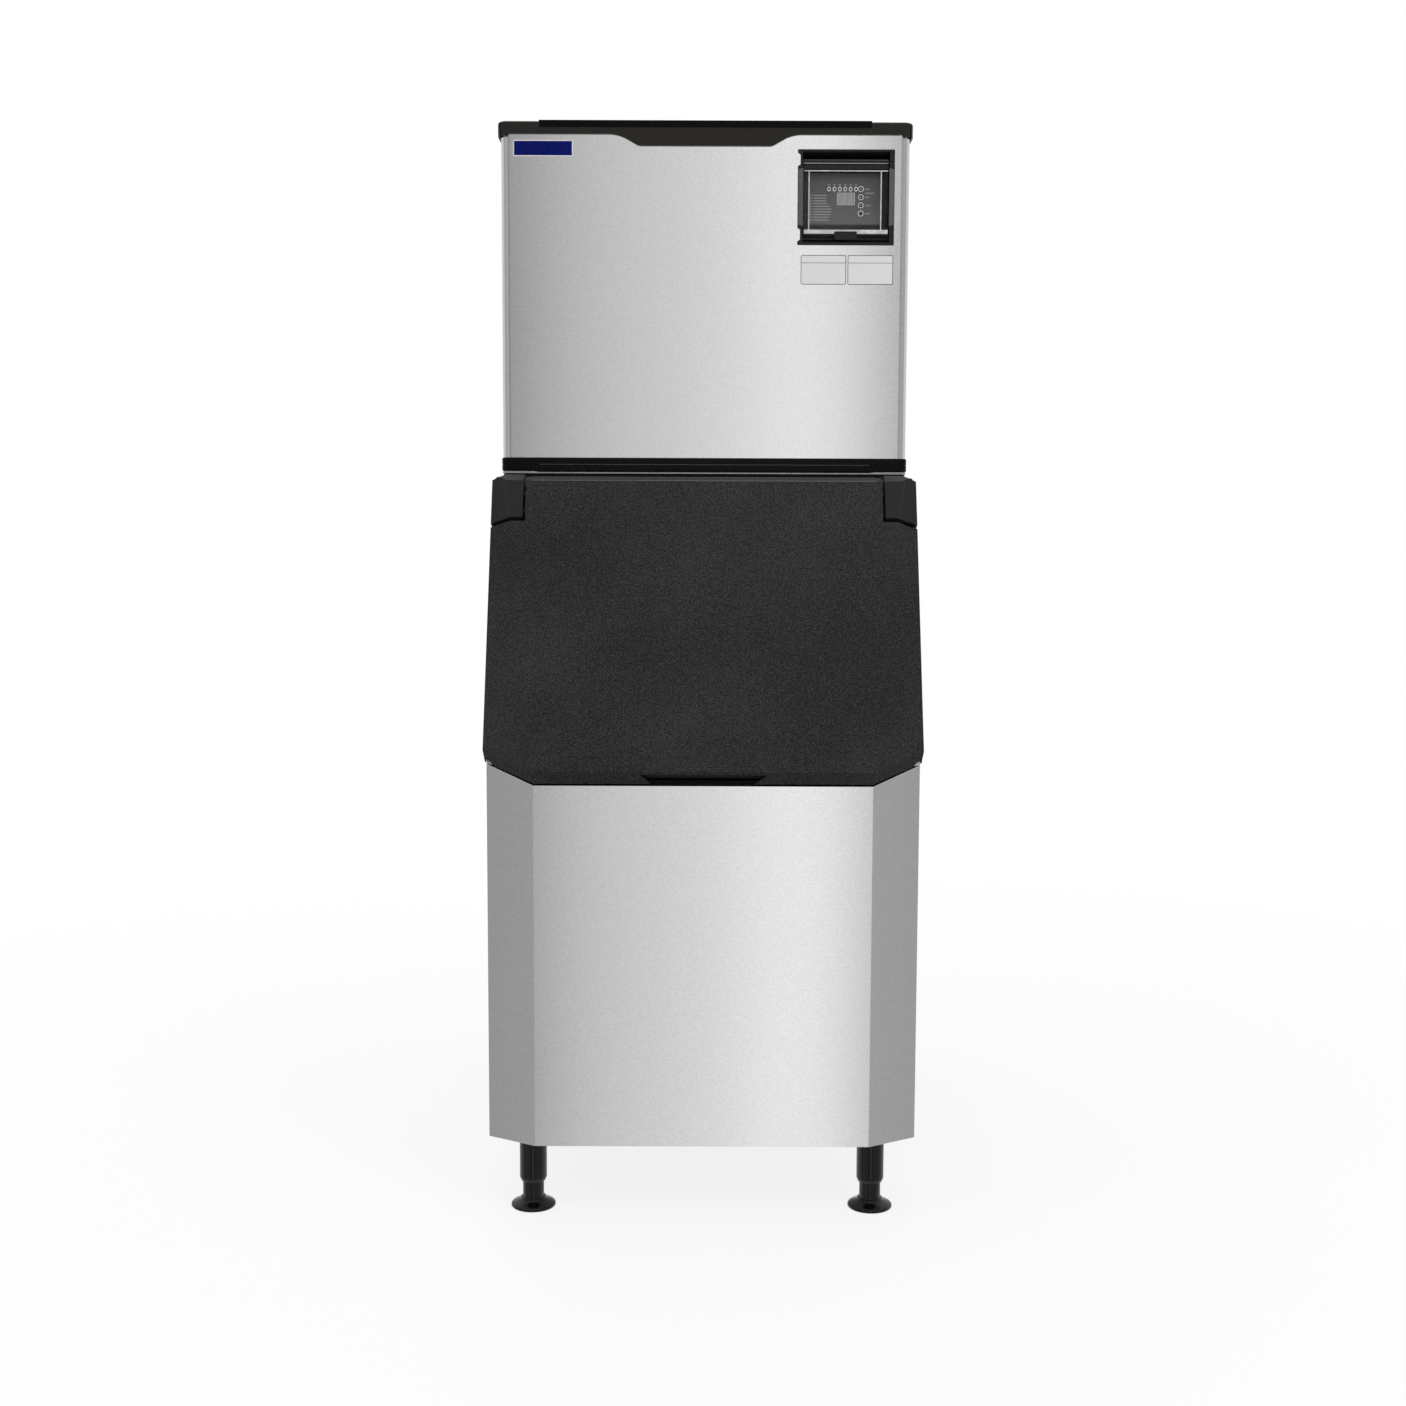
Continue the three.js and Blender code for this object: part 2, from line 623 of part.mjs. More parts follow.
function makeHingeSide(side, name) {
  const across = (shape) => (side < 0 ? mirrored(shape) : shape)
  const facets = inward => {
    const low = doorTop - hinge.coverEdge * 2
    const high = doorTop + hinge.coverEdge * 2
    const frontHalf = half - body.chamferAcross + door.facetOver
    const topHalf = sideHalf - door.topChamferAcross - door.sideProud
    const creaseDeep = body.chamferDeep * leanCos - body.chamferDeep * riseTan * leanSin
    const outline = along => {
      const share = along / doorTop
      const crease = frontHalf + (topHalf - frontHalf) * share
      const deep = creaseDeep + (door.topChamferDeep - creaseDeep) * share
      const corner = chamferIn(crease, sideHalf - crease, deep, inward)
      const edge = [
        [0, inward], [corner.front, inward], [sideHalf - inward, corner.side],
        [sideHalf - inward, body.depth], [0, body.depth],
      ]
      return edge.map(([x, y]) => onSlope(x, y, along))
    }
    return loft([outline(low), outline(high)])
  }
  const bevelTop = body.top + cover.rise
  const bevel = frontways([
    [sideHalf + overrun, bevelTop + overrun],
    [sideHalf - cover.bevelAcross, bevelTop + overrun],
    [sideHalf - cover.bevelAcross, bevelTop],
    [sideHalf, bevelTop - cover.bevelHigh],
    [sideHalf + overrun, bevelTop - cover.bevelHigh],
  ], -overrun, body.depth)
  const outside = meet(
    sideways(coverProfile(0), coverInner, sideHalf, arcs.sweep), facets(0),
  )
  const inside = meet(
    sideways(coverProfile(cover.wall), coverInner + cover.wall, sideHalf, arcs.sweep), facets(cover.wall),
  )
  const bodyRoom = sideways([
    slopePoint(rim - fit, 0), [body.depth, 0], [body.depth, body.top + fit],
    slopePoint(rim - fit, alongAtHeight(rim - fit, body.top + fit)),
  ], 0, half + fit)
  const pinHole = hingeRod(hingeBore, coverInner - overrun, coverInner + cover.wall + overrun)
  const hollow = cut(inside, bevel.translate([0, 0, -cover.wall]))
  const shell = cut(outside, bevel, hollow, bodyRoom, pinHole)
  place(bin, `hinge_cover_${name}`, across(shell), hingePlastic)

  const inner = coverInner + cover.wall + fit
  const axis = doorTop - hinge.belowTop
  const plateBack = rim - fit
  const plate = sideways([
    slopePoint(plateBack - bracket.plate, axis - bracket.low), slopePoint(plateBack, axis - bracket.low),
    slopePoint(plateBack, axis + bracket.high), slopePoint(plateBack - bracket.plate, axis + bracket.high),
  ], inner, sideHalf - cover.wall - bracket.sideGap)
  const ear = sideways([
    slopePoint(hinge.deep, axis - bracket.earRadius), slopePoint(plateBack, axis - bracket.earRadius),
    slopePoint(plateBack, axis + bracket.high), slopePoint(hinge.deep, axis + bracket.high),
  ], inner, inner + bracket.ear)
  const eye = hingeRod(bracket.earRadius, inner, inner + bracket.ear)
  const hole = hingeRod(hinge.pin + fit, inner - overrun, inner + bracket.ear + overrun)
  place(bin, `hinge_bracket_${name}`, across(cut(join(plate, ear, eye), hole)), zinc)

  const headInner = inner + bracket.ear + fit
  const shank = hingeRod(hinge.pin, doorBetween - door.wall - hinge.boss, headInner + fit)
  const head = hingeRod(pinHead.radius, headInner, headInner + pinHead.thick)
  place(bin, `hinge_pin_${name}`, across(join(shank, head)), steel)
}

function makeLegs() {
  const top = body.bottom - fit
  const bore = foot.stem + leg.play
  const boreTop = foot.stemTop + foot.travel
  const tube = turned([
    [bore, leg.bottom], [leg.tip, leg.bottom], [leg.radius, leg.bottom + leg.taper],
    [leg.radius, top], [0, top], [0, boreTop], [bore, boreTop], [bore, leg.bottom],
  ])
  const pad = turned([
    [0, 0], [foot.pad, 0], [foot.pad, foot.rim], [foot.neck, foot.shoulder], [foot.stem, foot.shoulder],
    [foot.stem, foot.stemTop], [0, foot.stemTop],
  ])
  const across = half - leg.inset
  for (const [row, y] of [['front', leg.front], ['rear', body.depth - leg.front]]) {
    for (const [side, x] of [['left', -across], ['right', across]]) {
      place(bin, `leg_tube_${row}_${side}`, tube, glossBlack, [x, y, 0])
      place(bin, `levelling_foot_${row}_${side}`, pad, glossBlack, [x, y, 0])
    }
  }
}

// Fitting through a back panel: a bored stub with a flange and a hexagon outside
function pipeFitting({ radius, flange, hex, bore }, x, z, insideEnd) {
  const outside = body.depth + fit
  const end = body.depth + rearReach
  const nut = outside + fitting.flangeThick
  const plug = nut + (end - nut) * fitting.plugShare
  const stub = rodDeep(radius, insideEnd, end, x, z, sides.small)
  const disc = rodDeep(flange, outside, nut, x, z, sides.small)
  const hexagon = rodDeep(hex, nut - fit, plug, x, z, 6)
  return cut(join(stub, disc, hexagon), rodDeep(bore, insideEnd - overrun, end + overrun, x, z, sides.small))
}

function makeBinDrain() {
  const inner = body.depth - body.wall - body.liner
  place(bin, 'bin_drain_fitting', pipeFitting(binDrain, binDrain.x, drainLevel, inner), foodPlastic)
}

// Base of the head
function makeHeadBase() {
  const ring = (outer, wide, low, high, front, back) => cut(
    block(-outer, outer, front, back, low, high),
    block(wide - outer, outer - wide, front + wide, back - wide, low - overrun, high + overrun),
  )
  const gasketSide = half - seat.gasketInset
  const gasket = ring(
    gasketSide, seat.gasketWidth, gasketBottom, gasketBottom + seat.gasket,
    headFront + seat.gasketInset, body.depth - seat.gasketInset,
  )
  place(iceHead, 'head_gasket', gasket, softRubber)

  const panSide = half - seat.panInset
  const pan = cut(
    block(-panSide, panSide, headFront + seat.panInset, body.depth - seat.panInset, panBottom, panTop),
    dropForm(0, panBottom - overrun, panTop + overrun),
  )
  place(iceHead, 'head_base_pan', pan, zinc)

  const stripSide = half + strip.proud
  const stripFront = headFront - strip.proud
  const grooveLow = floorLevel + strip.grooveUp
  const frameRing = ring(
    stripSide, strip.wide, floorLevel, floorLevel + strip.height, stripFront, body.depth,
  )
  const grooveInner = stripSide - strip.grooveDeep
  const groove = cut(
    block(
      -stripSide - overrun, stripSide + overrun, stripFront - overrun, body.depth + overrun,
      grooveLow, grooveLow + strip.groove,
    ),
    block(
      -grooveInner, grooveInner, stripFront + strip.grooveDeep, body.depth - strip.grooveDeep,
      grooveLow - overrun, grooveLow + strip.groove + overrun,
    ),
  )
  place(iceHead, 'head_base_strip', cut(frameRing, groove), glossBlack)
}

// Middle of the control bezel
const bezelX = half - bezel.fromEdge - bezel.width / 2
const bezelZ = panelTop - bezel.fromTop - bezel.height / 2
const recessHalf = bezel.width / 2 - bezel.rimWide

function makeFrontPanel() {
  const bend = (inward) => {
    const side = half - inward
    const front = headFront + inward
    const radius = head.cornerRadius - inward
    const back = headFront + head.returnDeep + (inward ? overrun : 0)
    const shape = new THREE.Shape()
    shape.moveTo(-side, back)
    shape.absarc(radius - side, front + radius, radius, Math.PI, Math.PI * 3 / 2)
    shape.absarc(side - radius, front + radius, radius, -Math.PI / 2, 0)
    shape.lineTo(side, back)
    return shape
  }
  const holeHalf = bezel.width / 2 - bezel.overlap
  const holeUp = bezel.height / 2 - bezel.overlap
  const panel = cut(
    upward(bend(0), panelBottom, panelTop),
    upward(bend(sheet), panelBottom - overrun, panelTop + overrun),
    block(
      bezelX - holeHalf, bezelX + holeHalf, headFront - overrun, headFront + overrun,
      bezelZ - holeUp, bezelZ + holeUp,
    ),
  )
  place(iceHead, 'head_front_panel', panel, steel)
}

// Side sheet with its upper and lower flanges turned in
function sidePanel(side) {
  const outer = side * half
  const inner = side * (half - sheet)
  const turnedIn = side * (half - head.flange)
  const outline = [
    [outer, panelBottom], [outer, panelTop], [turnedIn, panelTop], [turnedIn, panelTop - sheet],
    [inner, panelTop - sheet], [inner, panelBottom + sheet], [turnedIn, panelBottom + sheet],
    [turnedIn, panelBottom],
  ]
  return frontways(outline, headFront + head.returnDeep + fit, body.depth - inset)
}

function makeSidePanels() {
  place(iceHead, 'head_left_side_panel', sidePanel(-1), steel)

  const slots = []
  const hoods = []
  for (let i = 0; i < louvres.count; i++) {
    const low = panelBottom + louvres.up + i * louvres.pitch
    const high = low + louvres.height
    const front = body.depth - louvres.fromBack
    const back = front + louvres.length
    slots.push(block(half - sheet - overrun, half + overrun, front, back, low, high))
    hoods.push(frontways([
      [half - sheet, high + sheet], [half, high + sheet],
      [half + louvres.proud, low], [half + louvres.proud - sheet, low],
    ], front, back))
  }
  const panel = join(cut(sidePanel(1), ...slots), ...hoods)
  place(iceHead, 'head_right_side_panel', panel, steel)
}

const plateHalf = fan.radius + fan.plateEdge
const fanLevel = floorLevel + plateHalf + fan.lift

function makeRearPanel() {
  const panel = block(-half, half, body.depth - sheet, body.depth, panelBottom, panelTop)
  const slots = []
  const bottom = fanLevel - grille.pitch * (grille.slots - 1) / 2
  for (let row = 0; row < grille.rows; row++) {
    const x = bayMiddle + (row - (grille.rows - 1) / 2) * grille.between
    for (let i = 0; i < grille.slots; i++) {
      const z = bottom + i * grille.pitch
      slots.push(block(
        x - grille.slotWide / 2, x + grille.slotWide / 2,
        body.depth - sheet - overrun, body.depth + overrun,
        z - grille.slotHigh / 2, z + grille.slotHigh / 2,
      ))
    }
  }
  const holes = [inlet, headDrain, gland].map(({ fromSide, up, radius }) => rodDeep(
    radius + fit, body.depth - sheet - overrun, body.depth + overrun, half - fromSide, floorLevel + up,
  ))
  place(iceHead, 'head_rear_panel', cut(panel, ...slots, ...holes), zinc)
}

function makeHeadFittings() {
  const end = size => body.depth - sheet - size.inside
  const through = size => pipeFitting(size, half - size.fromSide, floorLevel + size.up, end(size))
  place(iceHead, 'water_inlet_fitting', through(inlet), brassMetal)
  place(iceHead, 'head_drain_fitting', through(headDrain), foodPlastic)
  place(iceHead, 'cable_gland', through(gland), glossBlack)
}

// Cap with its skirt, its drop tab and its raised middle
function makeCap() {
  const side = half + cap.proud
  const front = headFront - cap.proud
  const bottom = capTop - cap.skirt - cap.frontLift
  const plan = (inward, frontIn) => roundedBox(
    inward - side, side - inward, front + frontIn, body.depth - inward / 2, cap.radius - inward / 2,
  )
  const bevelled = [
    upward(plan(0, 0), bottom, capTop - cap.bevel),
    upward(plan(cap.bevel / 2, cap.bevel / 2), bottom, capTop - cap.bevel / 3),
    upward(plan(cap.bevel, cap.bevel), bottom, capTop),
  ]
  const crown = roundedBox(
    cap.raiseInset - side, side - cap.raiseInset, front + cap.raiseFront, body.depth - cap.raiseFront,
    cap.radius,
  )
  const lift = join(
    upward(crown, capTop - cap.wall, capTop + cap.raise / 2),
    upward(roundedBox(
      cap.raiseInset - side + cap.raise, side - cap.raiseInset - cap.raise,
      front + cap.raiseFront + cap.raise, body.depth - cap.raiseFront - cap.raise, cap.radius - cap.raise,
    ), capTop - cap.wall, capTop + cap.raise),
  )
  const tabLow = capTop - cap.skirt - cap.tabDrop
  const sCurve = new THREE.Shape()
  const high = capTop - cap.skirt
  const reach = (cap.tabShoulder - cap.tabHalf) / 2
  sCurve.moveTo(-cap.tabHalf, tabLow)
  sCurve.lineTo(cap.tabHalf, tabLow)
  sCurve.bezierCurveTo(cap.tabHalf + reach, tabLow, cap.tabShoulder - reach, high, cap.tabShoulder, high)
  sCurve.lineTo(cap.tabShoulder, high + overrun)
  sCurve.lineTo(-cap.tabShoulder, high + overrun)
  sCurve.lineTo(-cap.tabShoulder, high)
  sCurve.bezierCurveTo(reach - cap.tabShoulder, high, -cap.tabHalf - reach, tabLow, -cap.tabHalf, tabLow)
  const tabPlate = frontways(sCurve, front, headFront - fit, arcs.sweep)
  const hollowSide = side - cap.wall
  const hollow = block(
    -hollowSide, hollowSide, headFront - fit, body.depth + overrun, bottom - overrun, capTop - cap.wall,
  )
  const cornerFree = side - cap.radius
  const frontRaise = block(
    -cornerFree, cornerFree, front - overrun, headFront, bottom - overrun, capTop - cap.skirt,
  )
  const shell = cut(join(...bevelled, lift), hollow, frontRaise)
  place(iceHead, 'head_top_cap', join(shell, tabPlate), capPlastic)
}

// Ice maker: frame, grid, coil, spray tube, trough, pump and curtain
function makeIceMaker() {
  const sheetWall = block(
    partitionX, partitionX + partition.thick,
    headFront - strip.proud + strip.wide + partition.gap, body.depth - strip.wide - partition.gap,
    floorLevel, panelTop - partition.belowTop,
  )
  place(iceHead, 'head_partition', sheetWall, foodPlastic)

  const inLeft = makerLeft + frame.wall
  const inRight = makerRight - frame.wall
  const makerBack = makerFront + frame.deep
  const framePlan = [
    [makerLeft, makerFront], [inLeft, makerFront], [inLeft, makerBack - frame.wall],
    [inRight, makerBack - frame.wall], [inRight, makerFront], [makerRight, makerFront],
    [makerRight, makerBack], [makerLeft, makerBack],
  ]
  const troughFront = makerFront + trough.behind
  const troughBack = makerBack - frame.wall - fit
  const troughBottom = floorLevel + trough.up
  const troughTop = troughBottom + trough.height
  const troughPass = block(
    makerLeft - overrun, inLeft + overrun, troughFront - fit, troughBack + fit,
    troughBottom - fit, troughTop + fit,
  )
  const curtainFront = makerFront + curtain.behind
  const curtainBottom = floorLevel + curtain.up
  const pivotZ = makerTop - curtain.belowTop
  const pivotY = curtainFront + curtain.thick / 2
  const pivots = rodAcross(
    curtain.pin + fit, makerLeft - overrun, makerRight + overrun, pivotY, pivotZ, sides.small,
  )
  const housing = cut(upward(framePlan, floorLevel, makerTop), troughPass, pivots)
  place(iceHead, 'evaporator_frame', housing, foodPlastic)

  const left = inLeft + fit
  const right = inRight - fit
  const gridFront = makerFront + grid.behind
  const gridBottom = floorLevel + grid.up
  const gridTop = makerTop - grid.belowTop
  const cellWide = (right - left - grid.rib) / grid.columns
  const cellHigh = (gridTop - gridBottom - grid.rib) / grid.rows
  const gridBack = gridFront + grid.deep
  const plate = block(left, right, gridBack - grid.backPlate, gridBack, gridBottom, gridTop)
  const ribs = []
  for (let column = 0; column <= grid.columns; column++) {
    const x = left + column * cellWide
    ribs.push(block(x, x + grid.rib, gridFront, gridBack, gridBottom, gridTop))
  }
  for (let row = 0; row <= grid.rows; row++) {
    const z = gridBottom + row * cellHigh
    ribs.push(block(left, right, gridFront, gridBack, z, z + grid.rib))
  }
  place(iceHead, 'evaporator_grid', join(plate, ...ribs), nickel)

  const coilY = gridBack + fit + coil.radius
  const bend = (gridTop - gridBottom - coil.margin * 2) / (coil.runs - 1) / 2
  const path = new THREE.CurvePath()
  const near = left + coil.margin + bend
  const far = right - coil.margin - bend
  for (let run = 0; run < coil.runs; run++) {
    const z = gridBottom + coil.margin + run * bend * 2
    const [from, to] = run % 2 ? [far, near] : [near, far]
    path.add(new THREE.LineCurve3(new THREE.Vector3(from, coilY, z), new THREE.Vector3(to, coilY, z)))
    if (run + 1 < coil.runs) {
      const reach = to + Math.sign(to - from) * bend * 4 / 3
      path.add(new THREE.CubicBezierCurve3(
        new THREE.Vector3(to, coilY, z), new THREE.Vector3(reach, coilY, z),
        new THREE.Vector3(reach, coilY, z + bend * 2), new THREE.Vector3(to, coilY, z + bend * 2),
      ))
    }
  }
  const section = new THREE.Shape().absarc(0, 0, coil.radius, 0, Math.PI * 2)
  const pipe = new THREE.ExtrudeGeometry(section, {
    extrudePath: path, steps: coil.runs * coil.steps, curveSegments: coil.facets / 2,
  })
  place(iceHead, 'evaporator_coil', solid(pipe), copper)

  const sprayY = gridFront + grid.deep / 2
  const sprayZ = gridTop + fit + sprayTube.radius
  const spray = cut(
    rodAcross(sprayTube.radius, left, right, sprayY, sprayZ, sides.small),
    rodAcross(
      sprayTube.radius - sprayTube.wall, left + sprayTube.wall, right + overrun, sprayY, sprayZ,
      sides.small,
    ),
  )
  place(iceHead, 'water_distribution_tube', spray, foodPlastic)

  const troughLeft = trough.fromSide - half
  const tray = cut(
    block(troughLeft, right, troughFront, troughBack, troughBottom, troughTop),
    block(
      troughLeft + trough.wall, right - trough.wall, troughFront + trough.wall,
      troughBack - trough.wall, troughBottom + trough.wall, troughTop + overrun,
    ),
  )
  place(iceHead, 'water_trough', tray, foodPlastic)

  const pumpBase = troughBottom + trough.wall + fit
  const motorBase = pumpBase + pump.standUp
  const motorTop = motorBase + pump.height
  const pumpShape = turned([
    [0, pumpBase], [pump.impeller, pumpBase], [pump.impeller, pumpBase + pump.impeller],
    [pump.shaft, pumpBase + pump.impeller + pump.shaft], [pump.shaft, motorBase],
    [pump.radius, motorBase], [pump.radius, motorTop - pump.shaft], [pump.radius - pump.shaft, motorTop],
    [0, motorTop],
  ])
  const pumpAt = [troughLeft + pump.fromTrough, makerFront + pump.behind, 0]
  place(iceHead, 'water_pump', pumpShape, motorPaint, pumpAt)

  const back = curtainFront + curtain.thick
  const flap = block(left + fit, right - fit, curtainFront, back, curtainBottom, pivotZ)
  const roll = rodAcross(curtain.roll, left + fit, right - fit, pivotY, pivotZ, sides.small)
  const pins = rodAcross(curtain.pin, makerLeft, makerRight, pivotY, pivotZ, sides.small)
  const ribsUp = []
  for (let i = 0; i < curtain.ribs; i++) {
    const x = left + (right - left) * (i + 1 / 2) / curtain.ribs
    ribsUp.push(block(
      x - curtain.ribWide / 2, x + curtain.ribWide / 2, curtainFront - curtain.ribDeep, back,
      curtainBottom, pivotZ,
    ))
  }
  place(iceHead, 'water_curtain', join(flap, roll, pins, ...ribsUp), foodPlastic)
}

// Compressor, condenser, fan and motor
function makeRefrigeration() {
  const { radius, dome, seam } = compressor
  const low = floorLevel + compressor.plate
  const top = floorLevel + compressor.height
  const mid = (low + top) / 2
  const compressorY = headFront + compressor.behind
  const canister = turned([
    [0, low - fit], [radius - dome, low - fit], [radius, low + dome], [radius, mid - seam],
    [radius + seam, mid - seam], [radius + seam, mid + seam], [radius, mid + seam], [radius, top - dome],
    [radius - dome / 3, top - dome / 3], [radius - dome, top], [0, top],
  ]).translate([bayMiddle, compressorY, 0])
  const base = upward(roundedBox(
    bayMiddle - compressor.foot, bayMiddle + compressor.foot,
    compressorY - compressor.foot, compressorY + compressor.foot, dome,
  ), floorLevel, low)
  place(iceHead, 'compressor', join(canister, base), motorPaint)

  const left = partitionX + partition.thick + condenser.margin
  const right = bayMiddle * 2 - left
  const finFront = body.depth - condenser.ahead
  const finBack = finFront + condenser.deep
  const finTop = fanLevel + plateHalf
  const pitch = (right - left - condenser.endPlate) / condenser.fins
  const comb = [block(
    left, right, finFront + (condenser.deep - condenser.spine) / 2,
    finFront + (condenser.deep + condenser.spine) / 2, floorLevel, finTop,
  )]
  for (let i = 0; i <= condenser.fins; i++) {
    const x = left + i * pitch
    comb.push(block(x, x + condenser.endPlate, finFront, finBack, floorLevel, finTop))
  }
  place(iceHead, 'condenser_coil', join(...comb), finMetal)

  const plateFront = finBack + fit
  const ringBack = plateFront + fan.ringDeep
  const armFront = ringBack - fan.armDeep
  const motorRing = fan.motor + fit
  const hoop = cut(
    join(
      block(
        bayMiddle - plateHalf, bayMiddle + plateHalf, plateFront, plateFront + fan.shroud,
        floorLevel, fanLevel + plateHalf,
      ),
      rodDeep(fan.radius + fan.wall, plateFront, ringBack, bayMiddle, fanLevel),
    ),
    rodDeep(fan.radius, plateFront - overrun, ringBack + overrun, bayMiddle, fanLevel),
  )
  const spider = join(
    block(
      bayMiddle - fan.radius - fan.wall / 2, bayMiddle + fan.radius + fan.wall / 2, armFront, ringBack,
      fanLevel - fan.arm / 2, fanLevel + fan.arm / 2,
    ),
    block(
      bayMiddle - fan.arm / 2, bayMiddle + fan.arm / 2, armFront, ringBack,
      fanLevel - fan.radius - fan.wall / 2, fanLevel + fan.radius + fan.wall / 2,
    ),
    rodDeep(motorRing + fan.wall, armFront, ringBack + fan.armDeep, bayMiddle, fanLevel),
  )
  const motorHole = rodDeep(
    motorRing, armFront - overrun, ringBack + fan.armDeep + overrun, bayMiddle, fanLevel,
  )
  place(iceHead, 'fan_shroud', join(hoop, cut(spider, motorHole)), motorPaint)

  const motorEnd = armFront + fan.motorDeep
  const shaftEnd = plateFront + fan.gap
  const motor = turnedDeep([
    [0, shaftEnd], [fan.shaft, shaftEnd], [fan.shaft, armFront], [fan.motor, armFront],
    [fan.motor, motorEnd - fan.gap], [fan.motor - fan.gap, motorEnd], [0, motorEnd],
  ], bayMiddle, fanLevel)
  place(iceHead, 'fan_motor', motor, zinc)

  const hubFront = plateFront + fan.gap
  const hubBack = armFront - fan.gap / 2
  const bladeMid = (hubFront + hubBack) / 2
  const reach = fan.radius - fan.tipGap
  const hub = rodDeep(fan.hub, hubFront, hubBack, 0, 0)
  const blades = []
  for (let i = 0; i < fan.blades; i++) {
    const blade = new THREE.BoxGeometry(fan.bladeWide, fan.bladeThick, reach - fan.hub / 2)
    blade.rotateZ(fan.bladePitch)
    blade.translate(0, bladeMid, (reach + fan.hub / 2) / 2)
    blade.rotateY(i * 2 * Math.PI / fan.blades)
    blades.push(solid(blade))
  }
  const room = meet(
    join(...blades), rodDeep(reach, hubFront, hubBack, 0, 0),
  )
  const bore = rodDeep(fan.shaft + fit, hubFront - overrun, hubBack + overrun, 0, 0, sides.small)
  place(iceHead, 'fan_blade', cut(join(hub, room), bore), motorPaint, [bayMiddle, 0, fanLevel])
}

// Control recess, drawn about the middle of its bezel with its depth from the steel
function makeControls() {
  controls.position.set(bezelX, headFront, bezelZ)
  const wide = bezel.width / 2
  const high = bezel.height / 2
  const trayWide = wide - bezel.overlap - fit
  const trayHigh = high - bezel.overlap - fit
  const floorBack = bezel.floorDeep + bezel.floor
  const mouth = recessHalf
  const rimFront = -bezel.flange - fit
  const upTop = high - bezel.rimHigh
  const flare = (bezel.floorDeep - rimFront + overrun) / (bezel.floorDeep - rimFront)
  const rectangle = (y, low, up) => [
    [-mouth, low], [mouth, low], [mouth, up], [-mouth, up],
  ].map(([x, z]) => new THREE.Vector3(x, y, z))
  const recess = loft([
    rectangle(bezel.floorDeep, bezel.flareBottom - upTop, upTop - bezel.flareTop),
    rectangle(
      bezel.floorDeep - (bezel.floorDeep - rimFront) * flare,
      bezel.flareBottom * (1 - flare) - upTop, upTop - bezel.flareTop * (1 - flare),
    ),
  ])
  const openings = [
    block(
      display.x - display.width / 2 - fit, display.x + display.width / 2 + fit, 0, fascia.thick,
      display.up - display.height / 2 - fit, display.up + display.height / 2 + fit,
    ).translate([0, bezel.floorDeep - fit - fascia.thick, 0]),
  ]
  const round = []
  for (let i = 0; i < lights.count; i++) {
    round.push([lights.lens + lights.play, lights.left + i * lights.pitch, lights.up])
  }
  for (let i = 0; i < button.count; i++) {
    round.push([button.radius + button.play, button.x, button.up - i * button.pitch])
  }
  const holes = round.map(([radius, x, z]) => rodDeep(radius, 0, floorBack + overrun, x, z, sides.small))
  const axle = [flipCover.axisDeep, high - flipCover.fromTop]
  const pinEnd = recessHalf - flipCover.sideGap + flipCover.pinReach
  const pinHoles = rodAcross(
    flipCover.pin + flipCover.play, -pinEnd - fit, pinEnd + fit, ...axle, sides.small,
  )
  const tray = cut(
    join(
      block(-wide, wide, rimFront, -fit, -high, high),
      block(-trayWide, trayWide, -fit * 2, floorBack, -trayHigh, trayHigh),
    ),
    recess, ...holes, pinHoles,
  )
  place(controls, 'control_bezel', tray, bezelPlastic)

  const fasciaBack = bezel.floorDeep - fit
  const fasciaFront = fasciaBack - fascia.thick
  const plate = cut(
    block(
      fascia.sideGap - mouth, mouth - fascia.sideGap, fasciaFront, fasciaBack,
      fascia.fromBottom - high, high - fascia.fromTop,
    ),
    ...openings, ...holes,
  )
  place(controls, 'control_fascia', plate, fasciaPrint)

  const windowShape = block(
    display.x - display.width / 2, display.x + display.width / 2, fasciaFront - display.proud, fasciaBack,
    display.up - display.height / 2, display.up + display.height / 2,
  )
  place(controls, 'control_display', windowShape, screen)

  const guideFront = floorBack + fit
  const last = lights.left + (lights.count - 1) * lights.pitch
  const guide = join(
    block(
      lights.left - lights.bar / 2, last + lights.lens, guideFront, guideFront + lights.barThick,
      lights.up - lights.bar / 2, lights.up + lights.bar / 2,
    ),
    ...Array.from({ length: lights.count }, (_, i) => rodDeep(
      lights.lens, fasciaFront - lights.proud, guideFront + lights.barThick / 2,
      lights.left + i * lights.pitch, lights.up, sides.small,
    )),
  )
  place(controls, 'control_light_guide', guide, clearPlastic)

  const face = fasciaFront - button.proud
  const flangeFront = floorBack + fit
  const flangeBack = flangeFront + button.flangeThick
  const cap = turnedDeep([
    [0, face + button.dish], [button.radius / 2, face + button.dish], [button.radius * 2 / 3, face],
    [button.radius, face], [button.radius, flangeFront], [button.flange, flangeFront],
    [button.flange, flangeBack], [0, flangeBack],
  ], 0, 0, sides.small)
  for (let i = 0; i < button.count; i++) {
    const z = button.up - i * button.pitch
    place(controls, `control_button_${i + 1}`, cap, buttonPlastic, [button.x, 0, z])
  }

  makeFlipCover(axle, pinEnd)

  const boxHalf = wide - controlBox.sideGap
  const boxLow = controlBox.fromBottom - high
  const boxHigh = high - controlBox.fromTop
  const boxBack = guideFront + controlBox.deep
  const box = cut(
    block(-boxHalf, boxHalf, guideFront, boxBack, boxLow, boxHigh),
    block(
      controlBox.wall - boxHalf, boxHalf - controlBox.wall, guideFront - overrun,
      boxBack - controlBox.wall, boxLow + controlBox.wall, boxHigh - controlBox.wall,
    ),
  )
  place(controls, 'control_box', box, zinc)
}

